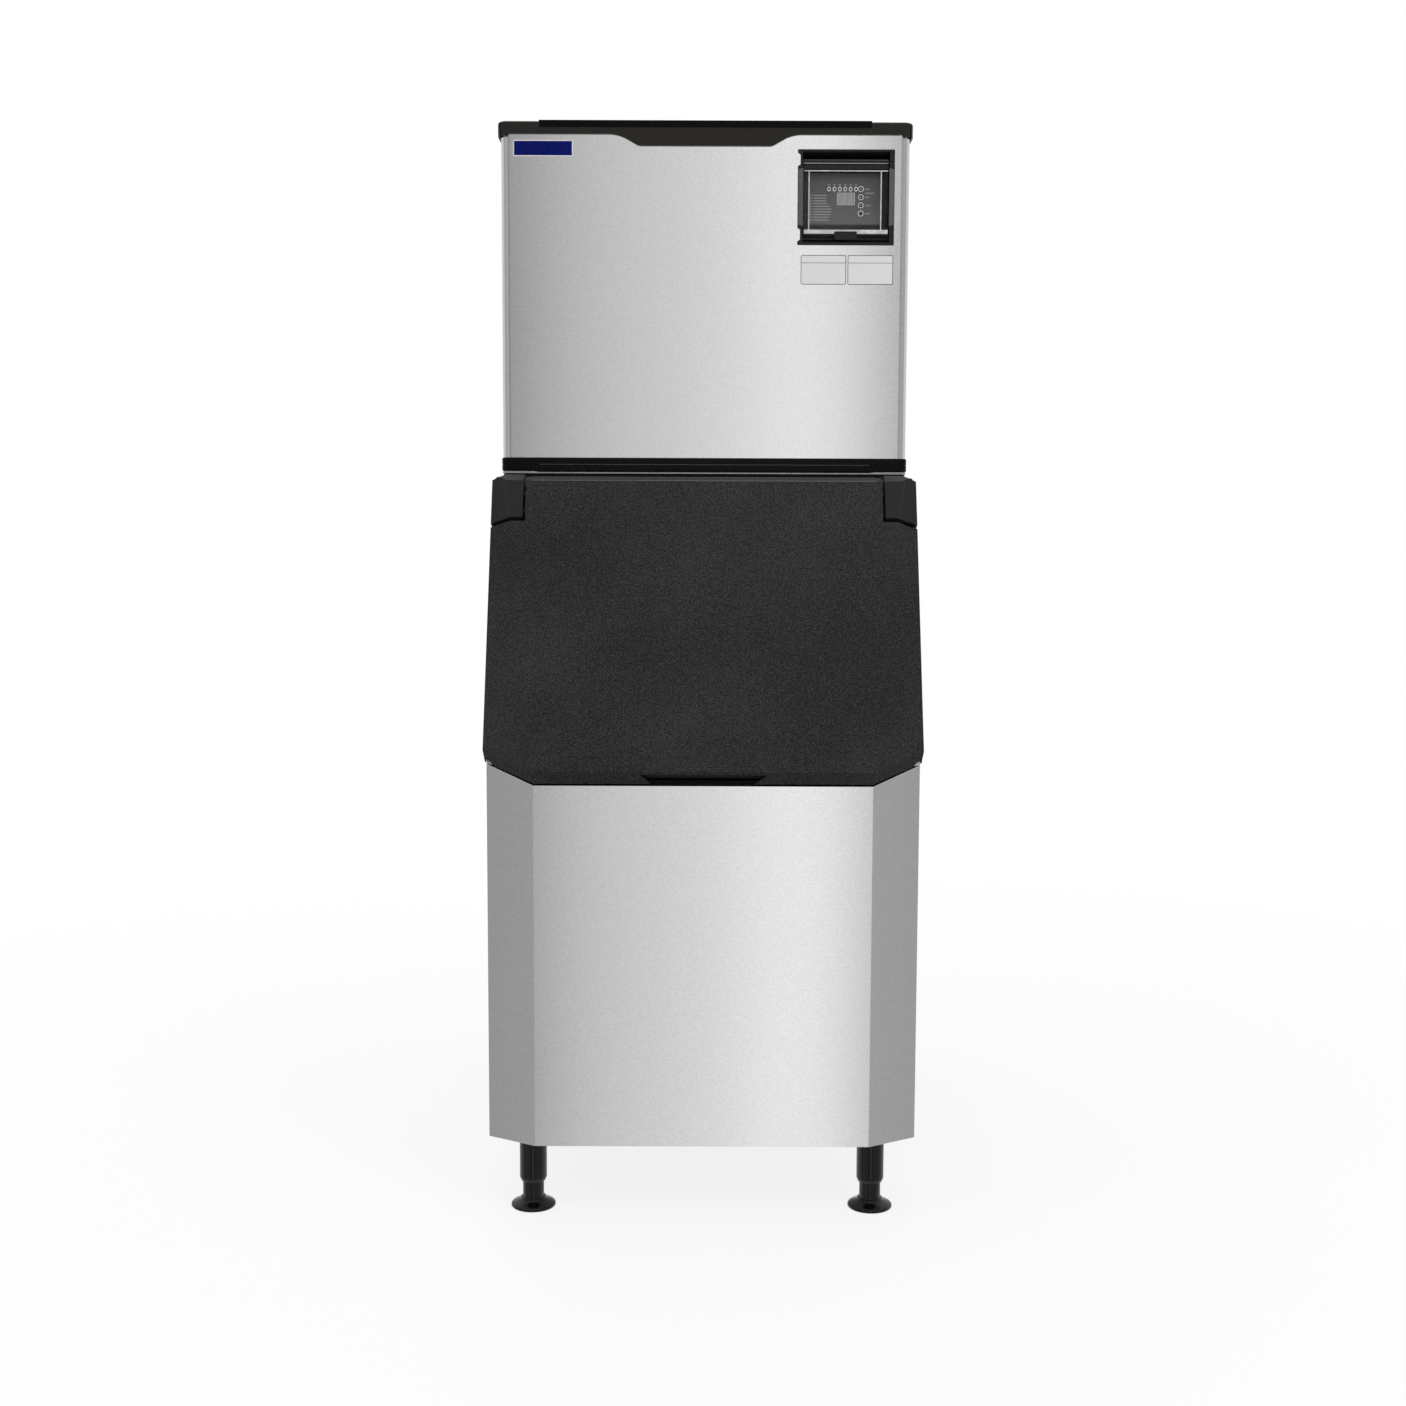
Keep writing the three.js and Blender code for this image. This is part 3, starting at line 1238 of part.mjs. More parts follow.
function makeFlipCover([axisDeep, axisUp], pinEnd) {
  const { thick, edge, edgeWide } = flipCover
  const side = recessHalf - flipCover.sideGap
  const low = flipCover.fromBottom - bezel.height / 2
  const front = axisDeep - thick
  const pane = block(-side, side, front, axisDeep, low, axisUp)
  const frameFront = front - edge
  const border = cut(
    block(-side, side, frameFront, axisDeep, low, axisUp),
    block(
      edgeWide - side, side - edgeWide, frameFront - overrun, axisDeep + overrun,
      low + edgeWide, axisUp + overrun,
    ),
  )
  const ledge = block(-side, side, frameFront - edge, axisDeep, low, low + flipCover.ledge)
  const barrel = rodAcross(flipCover.barrel, -side, side, axisDeep, axisUp, sides.small)
  const pins = rodAcross(flipCover.pin, -pinEnd, pinEnd, axisDeep, axisUp, sides.small)
  place(controls, 'control_cover', join(pane, border, ledge, barrel, pins), clearPlastic)

  const tabBack = frameFront - edge - fit
  const finger = block(
    tab.x - tab.half, tab.x + tab.half, tabBack - tab.thick, tabBack, low - tab.below, low + tab.above,
  )
  place(controls, 'control_cover_tab', finger, bezelPlastic)
}

makeBinShell()
makeBinCore()
makeBinPlates()
makeDoor()
makeHingeSide(-1, 'left')
makeHingeSide(1, 'right')
makeLegs()
makeBinDrain()
makeHeadBase()
makeFrontPanel()
makeSidePanels()
makeRearPanel()
makeHeadFittings()
makeCap()
makeIceMaker()
makeRefrigeration()
makeControls()

export default machine
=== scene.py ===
import json
import math

import bmesh
import bpy
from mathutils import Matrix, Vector


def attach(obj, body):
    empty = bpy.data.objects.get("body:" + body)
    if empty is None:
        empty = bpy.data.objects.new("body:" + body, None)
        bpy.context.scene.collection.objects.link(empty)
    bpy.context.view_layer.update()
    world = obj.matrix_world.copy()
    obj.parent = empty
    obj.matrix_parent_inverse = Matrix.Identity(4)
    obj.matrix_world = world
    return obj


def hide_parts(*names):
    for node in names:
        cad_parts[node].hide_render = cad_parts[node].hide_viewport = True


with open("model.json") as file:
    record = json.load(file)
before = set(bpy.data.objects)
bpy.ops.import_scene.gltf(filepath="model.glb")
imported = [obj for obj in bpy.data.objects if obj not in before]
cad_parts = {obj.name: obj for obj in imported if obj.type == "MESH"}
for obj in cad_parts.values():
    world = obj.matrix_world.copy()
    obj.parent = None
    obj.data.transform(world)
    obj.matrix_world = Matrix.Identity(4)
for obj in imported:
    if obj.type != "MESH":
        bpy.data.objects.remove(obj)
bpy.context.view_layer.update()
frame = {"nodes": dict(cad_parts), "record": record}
cadNodes = frame["nodes"]
mm = 0.001  # every size in the dictionaries is in millimetres


def values(setup, names):
    return [setup[name] for name in names.split()]


# Selection and simple modelling steps

def clearSelection():
    if bpy.context.object and bpy.context.object.mode != "OBJECT":
        bpy.ops.object.mode_set(mode="OBJECT")
    bpy.ops.object.select_all(action="DESELECT")


def activate(*pieces):
    clearSelection()
    for piece in pieces:
        piece.select_set(True)
    bpy.context.view_layer.objects.active = pieces[0]


def editing(piece):
    activate(piece)
    bpy.ops.object.mode_set(mode="EDIT")
    bpy.ops.mesh.select_all(action="DESELECT")


def doneEditing():
    bpy.ops.object.mode_set(mode="OBJECT")


def pickParts(kind, test):
    bpy.ops.mesh.select_mode(type=kind)
    bpy.ops.mesh.select_all(action="DESELECT")
    mesh = bmesh.from_edit_mesh(bpy.context.object.data)
    for part in {"FACE": mesh.faces, "EDGE": mesh.edges, "VERT": mesh.verts}[kind]:
        if test(part):
            part.select_set(True)
    if kind == "VERT":
        mesh.select_flush(True)
    bmesh.update_edit_mesh(bpy.context.object.data)


def pickFaces(test):
    pickParts("FACE", lambda face: test(face.calc_center_median() / mm, face.normal))


def pickEdges(test):
    pickParts("EDGE", lambda edge: test(edge.verts[0].co / mm, edge.verts[1].co / mm))


def pickPoints(test):
    pickParts("VERT", lambda vert: test(vert.co / mm))


def near(first, second):
    return abs(first - second) < 0.05


def roundPicked(width, steps):
    bpy.ops.mesh.bevel(offset=width * mm, offset_type="OFFSET", segments=steps, affect="EDGES")


def roundEdges(piece, test, width, steps):
    editing(piece)
    pickEdges(test)
    roundPicked(width, steps)
    doneEditing()
    return piece


def pull(y=0, z=0):
    bpy.ops.mesh.extrude_region_move(TRANSFORM_OT_translate={"value": (0, y * mm, z * mm)})


def shift(y=0, z=0):
    bpy.ops.transform.translate(value=(0, y * mm, z * mm))


def stretchPicked(x, y, z, about):
    bpy.ops.transform.resize(value=(x, y, z), center_override=Vector(about) * mm)


def slicePiece(point, normal):
    bpy.ops.mesh.select_all(action="SELECT")
    bpy.ops.mesh.bisect(plane_co=Vector(point) * mm, plane_no=normal)


def turnFacesOut():
    bpy.ops.mesh.select_all(action="SELECT")
    bpy.ops.mesh.normals_make_consistent(inside=False)
    doneEditing()


def applyPlace():
    bpy.ops.object.transform_apply(location=True, rotation=True, scale=True)


def addBlock(name, low, high):
    clearSelection()
    low, high = Vector(low) * mm, Vector(high) * mm
    bpy.ops.mesh.primitive_cube_add(size=1, location=(low + high) / 2, scale=high - low)
    applyPlace()
    bpy.context.object.name = name
    return bpy.context.object


# A round piece grown ring by ring from a thin disc, about an upright axis
def addTurned(name, profile, sides):
    clearSelection()
    radius, low = profile[0]
    nextRadius, nextUp = profile[1]
    bpy.ops.mesh.primitive_cone_add(
        vertices=sides, radius1=radius * mm, radius2=nextRadius * mm, depth=(nextUp - low) * mm,
        location=(0, 0, (low + nextUp) / 2 * mm), end_fill_type="NGON",
    )
    applyPlace()
    piece = bpy.context.object
    piece.name = name
    editing(piece)
    pickFaces(lambda middle, normal: near(middle.z, nextUp) and normal.z > 0.9)
    radius, low = nextRadius, nextUp
    for nextRadius, nextUp in profile[2:]:
        pull(z=nextUp - low)
        stretchPicked(nextRadius / radius, nextRadius / radius, 1, (0, 0, nextUp))
        radius, low = nextRadius, nextUp
    turnFacesOut()
    return piece


def moveTo(piece, at, turn=(0, 0, 0)):
    activate(piece)
    piece.rotation_euler = [math.radians(angle) for angle in turn]
    applyPlace()
    piece.location = Vector(at) * mm
    applyPlace()
    return piece


def mirrorPiece(piece, name):
    twin = ownCopy(piece, name)
    twin.scale = (-1, 1, 1)
    applyPlace()
    editing(twin)
    turnFacesOut()
    return twin


def ownCopy(piece, name, at=(0, 0, 0)):
    twin = bpy.data.objects.new(name, piece.data.copy())
    bpy.context.scene.collection.objects.link(twin)
    activate(twin)
    twin.location = Vector(at) * mm
    applyPlace()
    return twin


def useModifier(piece, kind, **settings):
    activate(piece)
    modifier = piece.modifiers.new(kind.lower(), kind)
    for setting, value in settings.items():
        setattr(modifier, setting, value)
    bpy.ops.object.modifier_apply(modifier=modifier.name)
    return piece


def combine(piece, other, operation):
    useModifier(piece, "BOOLEAN", operation=operation, solver="MANIFOLD", object=other)
    bpy.data.objects.remove(other)
    return piece


def cutAway(piece, *cutters):
    for cutter in cutters:
        combine(piece, cutter, "DIFFERENCE")
    return piece


def dropSpares(*pieces):
    for piece in pieces:
        bpy.data.objects.remove(piece)


def joinAll(name, *pieces):
    activate(*pieces)
    bpy.ops.object.join()
    bpy.context.object.name = name
    return bpy.context.object


def softenEdges(piece, width, steps=2, angle=25):
    return useModifier(
        piece, "BEVEL", width=width * mm, segments=steps, limit_method="ANGLE", angle_limit=math.radians(angle),
        miter_outer="MITER_ARC", use_clamp_overlap=True,
    )


# A copy of a CAD node with its loose corners merged and its flat faces made whole again
def mergedCopy(node, name):
    piece = bpy.data.objects.new(name, cadNodes[node].data.copy())
    bpy.context.scene.collection.objects.link(piece)
    editing(piece)
    bpy.ops.mesh.customdata_custom_splitnormals_clear()
    bpy.ops.mesh.select_all(action="SELECT")
    bpy.ops.mesh.remove_doubles(threshold=0.01 * mm)
    bpy.ops.mesh.dissolve_limited(angle_limit=math.radians(0.4))
    doneEditing()
    return piece


# The slot is the record's; the look names the finish where it isn't the slot's own
def finishPiece(piece, slot, look=None, replaced=(), smooth=28, body="machine_body"):
    activate(piece)
    piece.data.materials.clear()
    piece.data.materials.append(finishes[look or slot])
    bpy.ops.object.shade_smooth_by_angle(angle=math.radians(smooth))
    useModifier(piece, "WEIGHTED_NORMAL", mode="FACE_AREA", weight=80, keep_sharp=True)  # flat faces mirror flatly
    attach(piece, body)
    if replaced:
        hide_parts(*replaced)


# Shader maths and finishes

class Wire:
    def __init__(self, finish, socket):
        self.finish = finish
        self.socket = socket

    def maths(self, operation, first, second=None):
        return self.finish.add("ShaderNodeMath", {"operation": operation}, {0: first, 1: second})

    def __add__(self, other):
        return self.maths("ADD", self, other)

    def __sub__(self, other):
        return self.maths("SUBTRACT", self, other)

    def __rsub__(self, other):
        return self.maths("SUBTRACT", other, self)

    def __mul__(self, other):
        return self.maths("MULTIPLY", self, other)

    __radd__ = __add__
    __rmul__ = __mul__


class Sheet:
    def __init__(self, tree):
        self.tree = tree

    def add(self, kind, settings, inputs, output=0):
        node = self.tree.nodes.new(kind)
        for setting, value in settings.items():
            if setting == "stops":
                ramp = node.color_ramp.elements
                while len(ramp) < len(value):
                    ramp.new(0.5)
                for stop, (where, colour) in zip(ramp, value):
                    stop.position = where
                    stop.color = colour
            else:
                setattr(node, setting, value)
        for socket, value in inputs.items():
            if isinstance(value, Wire):
                self.tree.links.new(value.socket, node.inputs[socket])
            elif value is not None:
                node.inputs[socket].default_value = value
        return Wire(self, node.outputs[output])

    def spread(self, wire, low, high, lowOut=0.0, highOut=1.0):
        return self.add("ShaderNodeMapRange", {}, {
            "Value": wire, "From Min": low, "From Max": high, "To Min": lowOut, "To Max": highOut,
        })

    def raySeen(self):
        rays = [self.add("ShaderNodeLightPath", {}, {}, ray)
                for ray in ("Is Camera Ray", "Is Glossy Ray", "Is Transmission Ray")]
        return rays[0].maths("MAXIMUM", rays[0], rays[1].maths("MAXIMUM", rays[1], rays[2]))


class Finish(Sheet):
    def __init__(self, name, steady):
        self.material = bpy.data.materials.new(name)
        self.material.use_nodes = True
        super().__init__(self.material.node_tree)
        self.shader = self.tree.nodes["Principled BSDF"]
        for socket, value in steady.items():
            self.shader.inputs[socket].default_value = value
        self.place = self.add("ShaderNodeTexCoord", {}, {}, "Object")

    def feed(self, socket, wire):
        self.tree.links.new(wire.socket, self.shader.inputs[socket])

    def stretched(self, scale):
        return self.add("ShaderNodeMapping", {}, {"Vector": self.place, "Scale": scale})

    def noise(self, scale, detail=2.0, stretch=(1, 1, 1), roughness=0.5):
        return self.add("ShaderNodeTexNoise", {}, {
            "Vector": self.stretched(stretch), "Scale": scale, "Detail": detail, "Roughness": roughness,
        })

    def cells(self, scale, output=0):
        return self.add("ShaderNodeTexVoronoi", {}, {"Vector": self.place, "Scale": scale}, output)

    def between(self, mask, first, second):
        return self.add("ShaderNodeMix", {"data_type": "RGBA"}, {0: mask, 6: first, 7: second}, 2)

    def along(self, axis):
        return self.add("ShaderNodeSeparateXYZ", {}, {"Vector": self.place}, axis)

    def paint(self, mask, dark, pale):
        self.feed("Base Color", self.between(mask, tone(dark), tone(pale)))

    def polish(self, wire, low, high, roughness):
        self.feed("Roughness", self.spread(wire, low, high, *roughness))

    def bump(self, height, strength, distance):
        self.feed("Normal", self.add("ShaderNodeBump", {}, {
            "Strength": strength, "Distance": distance * mm, "Height": height,
        }))


# A colour of three parts, or one grey level
def tone(colour):
    return (*colour, 1) if isinstance(colour, tuple) else (colour, colour, colour, 1)


# Camera, lamps, room

cameraSetup = {"lens": 44.97, "place": (-1.35, -2634.35, 891.4), "tilt": 84.5, "roll": -0.21}


def addCamera():
    clearSelection()
    bpy.ops.object.camera_add(
        location=Vector(cameraSetup["place"]) * mm,
        rotation=(math.radians(cameraSetup["tilt"]), math.radians(cameraSetup["roll"]), 0),
    )
    camera = bpy.context.object
    camera.data.lens = cameraSetup["lens"]
    camera.data.clip_start = 0.02
    camera.data.clip_end = 60
    bpy.context.scene.camera = camera


roomSetup = {
    "daylight": 0.62,  # what the white room gives to plain surfaces
    "floorSize": 30000, "floorTone": 0.9, "floorBounce": 0.32, "shadowNear": 0.82, "fadeFrom": 900, "fadeTo": 2200,
    # how bright the room's wall looks in gloss and metal, by its bearing in degrees from the front
    "wall": [(-180, 0.70), (-130, 0.75), (-98, 0.77), (-80, 0.46), (-75, 0.43), (-70.5, 0.30), (-66, 0.42),
             (-61, 0.55), (-54, 0.50), (-26, 0.46), (-13, 0.28), (-9, 0.12), (-7, 0.12), (-5, 0.74), (-3, 0.79),
             (-1, 0.79), (1, 0.79), (2.6, 1.28), (4, 1.90), (5.2, 0.89), (6.4, 0.15), (8, 0.13), (11, 0.34),
             (27, 0.46), (54, 0.44), (61, 0.56), (66, 0.46), (70.5, 0.35), (75, 0.40), (80, 0.54), (98, 0.76),
             (180, 0.70)],
    "ceiling": 0.8, "ceilingFrom": 0.55, "ceilingTo": 0.85,  # plain above and below, where the bearings crowd
}
lampSetup = {
    "keyRight": {"place": (1900, -2600, 2500), "aim": (0, -200, 800), "size": (1500, 1800), "power": 34},
    "fillLeft": {"place": (-2600, -1500, 1700), "aim": (0, -100, 700), "size": (1200, 2000), "power": 12},
    "top": {"place": (0, 300, 3300), "aim": (0, 0, 700), "size": (1800, 1800), "power": 22},
    "back": {"place": (-900, 2900, 1900), "aim": (0, 300, 800), "size": (1800, 1800), "power": 26},
}


def aimed(place, aim):
    return (Vector(aim) - Vector(place)).to_track_quat("-Z", "Y").to_euler()


def addLamps():
    for name, setup in lampSetup.items():
        clearSelection()
        bpy.ops.object.light_add(type="AREA", location=Vector(setup["place"]) * mm,
                                 rotation=aimed(setup["place"], setup["aim"]))
        lamp = bpy.context.object
        lamp.name = name
        lamp.data.shape = "RECTANGLE"
        lamp.data.size, lamp.data.size_y = (side * mm for side in setup["size"])
        lamp.data.energy = setup["power"]
        lamp.visible_glossy = name == "top"  # metal and gloss see the room's wall instead of the other lamps


def addRoom():
    world = bpy.data.worlds.new("whiteRoom")
    bpy.context.scene.world = world
    world.use_nodes = True
    sheet = Sheet(world.node_tree)
    heading = sheet.add("ShaderNodeTexCoord", {}, {}, "Generated")
    east = sheet.add("ShaderNodeSeparateXYZ", {}, {"Vector": heading}, "X")
    south = 0 - sheet.add("ShaderNodeSeparateXYZ", {}, {"Vector": heading}, "Y")
    bearing = sheet.spread(east.maths("ARCTAN2", east, south), -math.pi, math.pi)
    rise = sheet.add("ShaderNodeSeparateXYZ", {}, {"Vector": heading}, "Z")
    overhead = sheet.spread(rise.maths("ABSOLUTE", rise), roomSetup["ceilingFrom"], roomSetup["ceilingTo"])
    wall = sheet.add("ShaderNodeValToRGB", {
        "stops": [((angle + 180) / 360, tone(bright / 2)) for angle, bright in roomSetup["wall"]],
    }, {"Fac": bearing})
    glossy = sheet.add("ShaderNodeLightPath", {}, {}, "Is Glossy Ray")
    seen = sheet.spread(sheet.raySeen(), 0.0, 1.0, roomSetup["daylight"], 1.0)
    mirrored = 2 * sheet.add("ShaderNodeRGBToBW", {}, {"Color": wall})
    mirrored = mirrored * (1 - overhead) + roomSetup["ceiling"] * overhead
    strength = seen * (1 - glossy) + glossy * mirrored
    background = world.node_tree.nodes["Background"]
    background.inputs["Color"].default_value = tone(1.0)
    world.node_tree.links.new(strength.socket, background.inputs["Strength"])

    clearSelection()
    bpy.ops.mesh.primitive_plane_add(size=roomSetup["floorSize"] * mm, location=(0, 0, 0))
    floor = bpy.context.object
    floor.name = "studio_floor"
    floor.visible_glossy = False
    floor.data.materials.append(makeFloorFinish())


# White for the eye and for reflections, with the object's own shadow kept near its feet
def makeFloorFinish():
    finish = Finish("studio_floor", {"Roughness": 0.9, "Specular IOR Level": 0.0})
    reach = finish.add("ShaderNodeVectorMath", {"operation": "LENGTH"}, {0: finish.place}, "Value")
    far = finish.spread(reach, roomSetup["fadeFrom"] * mm, roomSetup["fadeTo"] * mm,
                        roomSetup["shadowNear"], 1.0)
    share = finish.raySeen() * far
    bounce = finish.between(finish.raySeen(), tone(roomSetup["floorBounce"]), tone(roomSetup["floorTone"]))
    finish.feed("Base Color", bounce)
    white = finish.add("ShaderNodeEmission", {}, {"Color": tone(1.0), "Strength": 1.0})
    plain = Wire(finish, finish.shader.outputs[0])
    mixed = finish.add("ShaderNodeMixShader", {}, {0: share, 1: plain, 2: white})
    finish.tree.links.new(mixed.socket, finish.tree.nodes["Material Output"].inputs["Surface"])
    return finish.material


# Finishes of the object

steelLook = {"base": (0.69, 0.69, 0.685), "lighter": (0.78, 0.78, 0.775), "roughness": (0.14, 0.175),
             "grainScale": 900, "grainStretch": (0.08, 0.08, 1.0), "speckScale": 430, "bumpStrength": 0.012}
# The bin's steel: the same steel painted paler, as painted light for the bin's brighter lit front
binSteelPaintedLightLook = dict(steelLook, base=(0.725, 0.725, 0.72), lighter=(0.82, 0.82, 0.815))


def makeSteel(name="stainless_steel", look=steelLook):
    finish = Finish(name, {"Metallic": 1.0, "Specular IOR Level": 0.5})
    grain = finish.noise(look["grainScale"], 3.0, look["grainStretch"], 0.6)
    speckle = finish.noise(look["speckScale"], 1.0)
    cloud = finish.noise(2.2, 2.0)
    finish.paint(finish.spread(grain * 0.3 + speckle * 0.6 + cloud * 0.1, 0.32, 0.68), look["base"], look["lighter"])
    finish.polish(grain * 0.6 + cloud * 0.4, 0.3, 0.7, look["roughness"])
    finish.bump(grain, look["bumpStrength"], 0.05)
    return finish.material


zincLook = {"dark": (0.50, 0.51, 0.52), "light": (0.60, 0.61, 0.62), "spangle": 95, "roughness": (0.3, 0.4)}


def makeZinc():
    finish = Finish("zinc_steel", {"Metallic": 1.0})
    spangle = finish.add("ShaderNodeRGBToBW", {}, {"Color": finish.cells(zincLook["spangle"], output=1)})
    flecks = finish.noise(240, 3.0)
    mask = finish.spread(spangle * 0.6 + flecks * 0.4, 0.2, 0.8)
    finish.paint(mask, zincLook["dark"], zincLook["light"])
    finish.polish(mask, 0.0, 1.0, zincLook["roughness"])
    finish.bump(flecks, 0.05, 0.05)
    return finish.material


# Plastics, rubber, paint, film, print and painted highlights: dark and pale tone, scale and height of the grain,
# roughness from and to, how glossy, and the clear coat where there is one
plasticLooks = {
    "door_plastic": ((0.0085, 0.0085, 0.0087), (0.060, 0.060, 0.059), 690, 0.3, (0.5, 0.7), 0.18),
    "hinge_plastic": (0.012, 0.026, 1100, 0.12, (0.42, 0.52), 0.22),
    "cap_plastic": ((0.0115, 0.0102, 0.0080), (0.0265, 0.0240, 0.0195), 1100, 0.25, (0.42, 0.6), 0.3),
    "gloss_black_plastic": ((0.002, 0.0022, 0.0027), (0.005, 0.0052, 0.006), 300, 0.02, (0.12, 0.2), 0.32, 0.15),
    "strip_plastic": (0.0015, 0.004, 300, 0.03, (0.22, 0.34), 0.12),
    "lid_plastic": ((0.0015, 0.0014, 0.0013), (0.004, 0.0038, 0.0035), 900, 0.1, (0.3, 0.4), 0.1),
    # Grey sheen painted on black plastic: the control cheeks, the strip bead, the door crown beads and the upper cowl
    # ridge
    "cheek_plastic": (0.10, 0.15, 700, 0.06, (0.35, 0.5), 0.3),
    "bezel_plastic": (0.004, 0.009, 1200, 0.08, (0.22, 0.34), 0.4),
    "button_plastic": (0.01, 0.02, 1400, 0.06, (0.4, 0.5), 0.4),
    "white_plastic": ((0.62, 0.63, 0.63), (0.72, 0.72, 0.71), 700, 0.05, (0.32, 0.45), 0.45),
    "rubber": (0.008, 0.02, 600, 0.12, (0.55, 0.75), 0.25),
    "seal_rubber": (0.002, 0.006, 600, 0.1, (0.5, 0.65), 0.1),
    "black_paint": ((0.008, 0.008, 0.009), (0.02, 0.02, 0.022), 260, 0.06, (0.25, 0.38), 0.5),
    "print_pale": (0.72, 0.84, 900, 0.02, (0.4, 0.5), 0.4),
    # Faint print, also painted on the lower cowl ridge as a highlight
    "print_faint": (0.36, 0.46, 900, 0.02, (0.45, 0.55), 0.3),
    "print_dark": (0.05, 0.08, 900, 0.02, (0.45, 0.55), 0.3),
    "lens_dark": ((0.005, 0.005, 0.006), (0.01, 0.01, 0.012), 400, 0.01, (0.08, 0.14), 0.5),
    # Pale highlight painted along the clear cover's edges
    "edge_highlight_paint": (0.58, 0.95, 70, 0.01, (0.12, 0.2), 0.5),
    "label_film": ((0.88, 0.88, 0.875), (0.94, 0.94, 0.935), 800, 0.02, (0.3, 0.4), 0.4),
    "plate_enamel": ((0.0008, 0.005, 0.125), (0.0015, 0.009, 0.16), 500, 0.02, (0.2, 0.3), 0.1),
}


# A pebbled grain with paler tips, and a slow drift of tone
def makePlastic(name, dark, pale, grainScale, grainBump, roughness, specular, coat=0.0):
    finish = Finish(name, {"Specular IOR Level": specular, "Coat Weight": coat, "Coat Roughness": 0.06})
    pebbles = finish.noise(grainScale, 2.0, roughness=0.55)
    drift = finish.noise(5.0, 2.0)
    finish.paint(finish.spread(pebbles * 0.825 + drift * 0.175, 0.42, 0.66), dark, pale)
    finish.polish(pebbles, 0.35, 0.65, roughness)
    finish.bump(pebbles, grainBump, 0.12)
    return finish.material


# Plated and bare metals of the small parts: dark and light tone, roughness from and to, size of the patches
metalLooks = {
    "nickel_plate": ((0.52, 0.5, 0.46), (0.66, 0.64, 0.6), (0.16, 0.3), 90),
    "copper": ((0.5, 0.2, 0.1), (0.78, 0.38, 0.22), (0.2, 0.42), 60),
    "brass": ((0.5, 0.36, 0.14), (0.74, 0.56, 0.25), (0.2, 0.4), 120),
}


def makeMetal(name, dark, light, roughness, scale):
    finish = Finish(name, {"Metallic": 1.0})
    patches = finish.noise(scale, 3.0)
    tarnish = finish.noise(9.0, 2.0)
    mask = finish.spread(patches * 0.6 + tarnish * 0.4, 0.36, 0.64)
    finish.paint(mask, dark, light)
    finish.polish(mask, 0.0, 1.0, roughness)
    finish.bump(patches, 0.04, 0.05)
    return finish.material


def makeFoam():
    finish = Finish("foam", {"Specular IOR Level": 0.1})
    pores = finish.cells(420)
    drift = finish.noise(14, 2.0)
    finish.paint(finish.spread(pores * 0.7 + drift * 0.3, 0.1, 0.6), (0.45, 0.36, 0.2), (0.72, 0.62, 0.4))
    finish.polish(drift, 0.3, 0.7, (0.85, 0.98))
    finish.bump(pores, 0.4, 0.6)
    return finish.material


# A thin clear sheet: it mirrors a little, more at a slant, and is seen through everywhere else
def makeClear():
    finish = Finish("clear_plastic", {"Metallic": 1.0, "Base Color": tone((0.9, 0.91, 0.92))})
    haze = finish.noise(60, 3.0)
    slant = finish.add("ShaderNodeFresnel", {}, {"IOR": 1.16})
    finish.feed("Alpha", slant + finish.spread(haze, 0.3, 0.7, 0.0, 0.003))
    finish.polish(haze, 0.3, 0.7, (0.03, 0.08))
    return finish.material


# Film behind the cover: a grey field inside a black margin, with painted shading, darker towards the top and paler
# towards its foot
filmSetup = {"left": 141.6, "right": 241.9, "low": 1316.6, "high": 1386.5, "blur": 1.6,
             "field": (0.072, 0.073, 0.075), "fieldFootPaintedLight": (0.165, 0.166, 0.168), "margin": 0.016}


def makeFascia():
    finish = Finish("fascia_print", {"Specular IOR Level": 0.3})
    across, up = finish.along("X"), finish.along("Z")
    left, right, low, high, blur = (size * mm for size in values(filmSetup, "left right low high blur"))
    # Painted shading: the field darker towards the top and paler towards its foot
    fall = finish.spread(up, low, high, 1.0, 0.0)
    weave = finish.noise(1500, 2.0)
    mask = finish.spread(fall * 0.85 + weave * 0.3, 0.05, 1.1)
    field = finish.between(mask, tone(filmSetup["field"]), tone(filmSetup["fieldFootPaintedLight"]))
    inside = (finish.spread(across, left, left + blur / 4) * finish.spread(across, right, right + blur / 4, 1.0, 0.0)
              * finish.spread(up, low - blur, low + blur))
    finish.feed("Base Color", finish.between(inside, tone(filmSetup["margin"]), field))
    finish.polish(weave, 0.3, 0.7, (0.42, 0.55))
    finish.bump(weave, 0.04, 0.05)
    return finish.material


def makeScreen():
    finish = Finish("display_window", {"Specular IOR Level": 0.5})
    stripes = finish.noise(700, 1.0, (1, 1, 0.1))
    finish.paint(finish.spread(stripes, 0.35, 0.65), (0.33, 0.335, 0.34), (0.42, 0.425, 0.43))
    finish.polish(stripes, 0.3, 0.7, (0.2, 0.3))
    return finish.material


def makeFins():
    finish = Finish("aluminium_fins", {"Metallic": 1.0})
    stripes = finish.add("ShaderNodeTexWave", {"bands_direction": "X"}, {
        "Vector": finish.stretched((1, 1, 1)), "Scale": 130.0, "Distortion": 0.3, "Detail": 1.0,
    }, "Fac")
    dust = finish.noise(30, 3.0)
    finish.paint(stripes * 0.8 + dust * 0.2, 0.16, (0.68, 0.69, 0.7))
    finish.polish(dust, 0.3, 0.7, (0.3, 0.5))
    finish.bump(stripes, 0.6, 0.5)
    return finish.material


def makeFinishes():
    made = {
        "stainless_steel": makeSteel(), "bin_steel_painted_light": makeSteel("bin_steel_painted_light", binSteelPaintedLightLook), "zinc_steel": makeZinc(),
        "fascia_print": makeFascia(), "clear_plastic": makeClear(), "display_window": makeScreen(),
        "foam": makeFoam(), "aluminium_fins": makeFins(),
    }
    made.update({name: makePlastic(name, *look) for name, look in plasticLooks.items()})
    made.update({name: makeMetal(name, *look) for name, look in metalLooks.items()})
    return made


bpy.context.scene.view_settings.view_transform = "Standard"
addCamera()
addRoom()
addLamps()
print("camera, room and lamps are set")
finishes = makeFinishes()
print("finishes are made:", len(finishes))

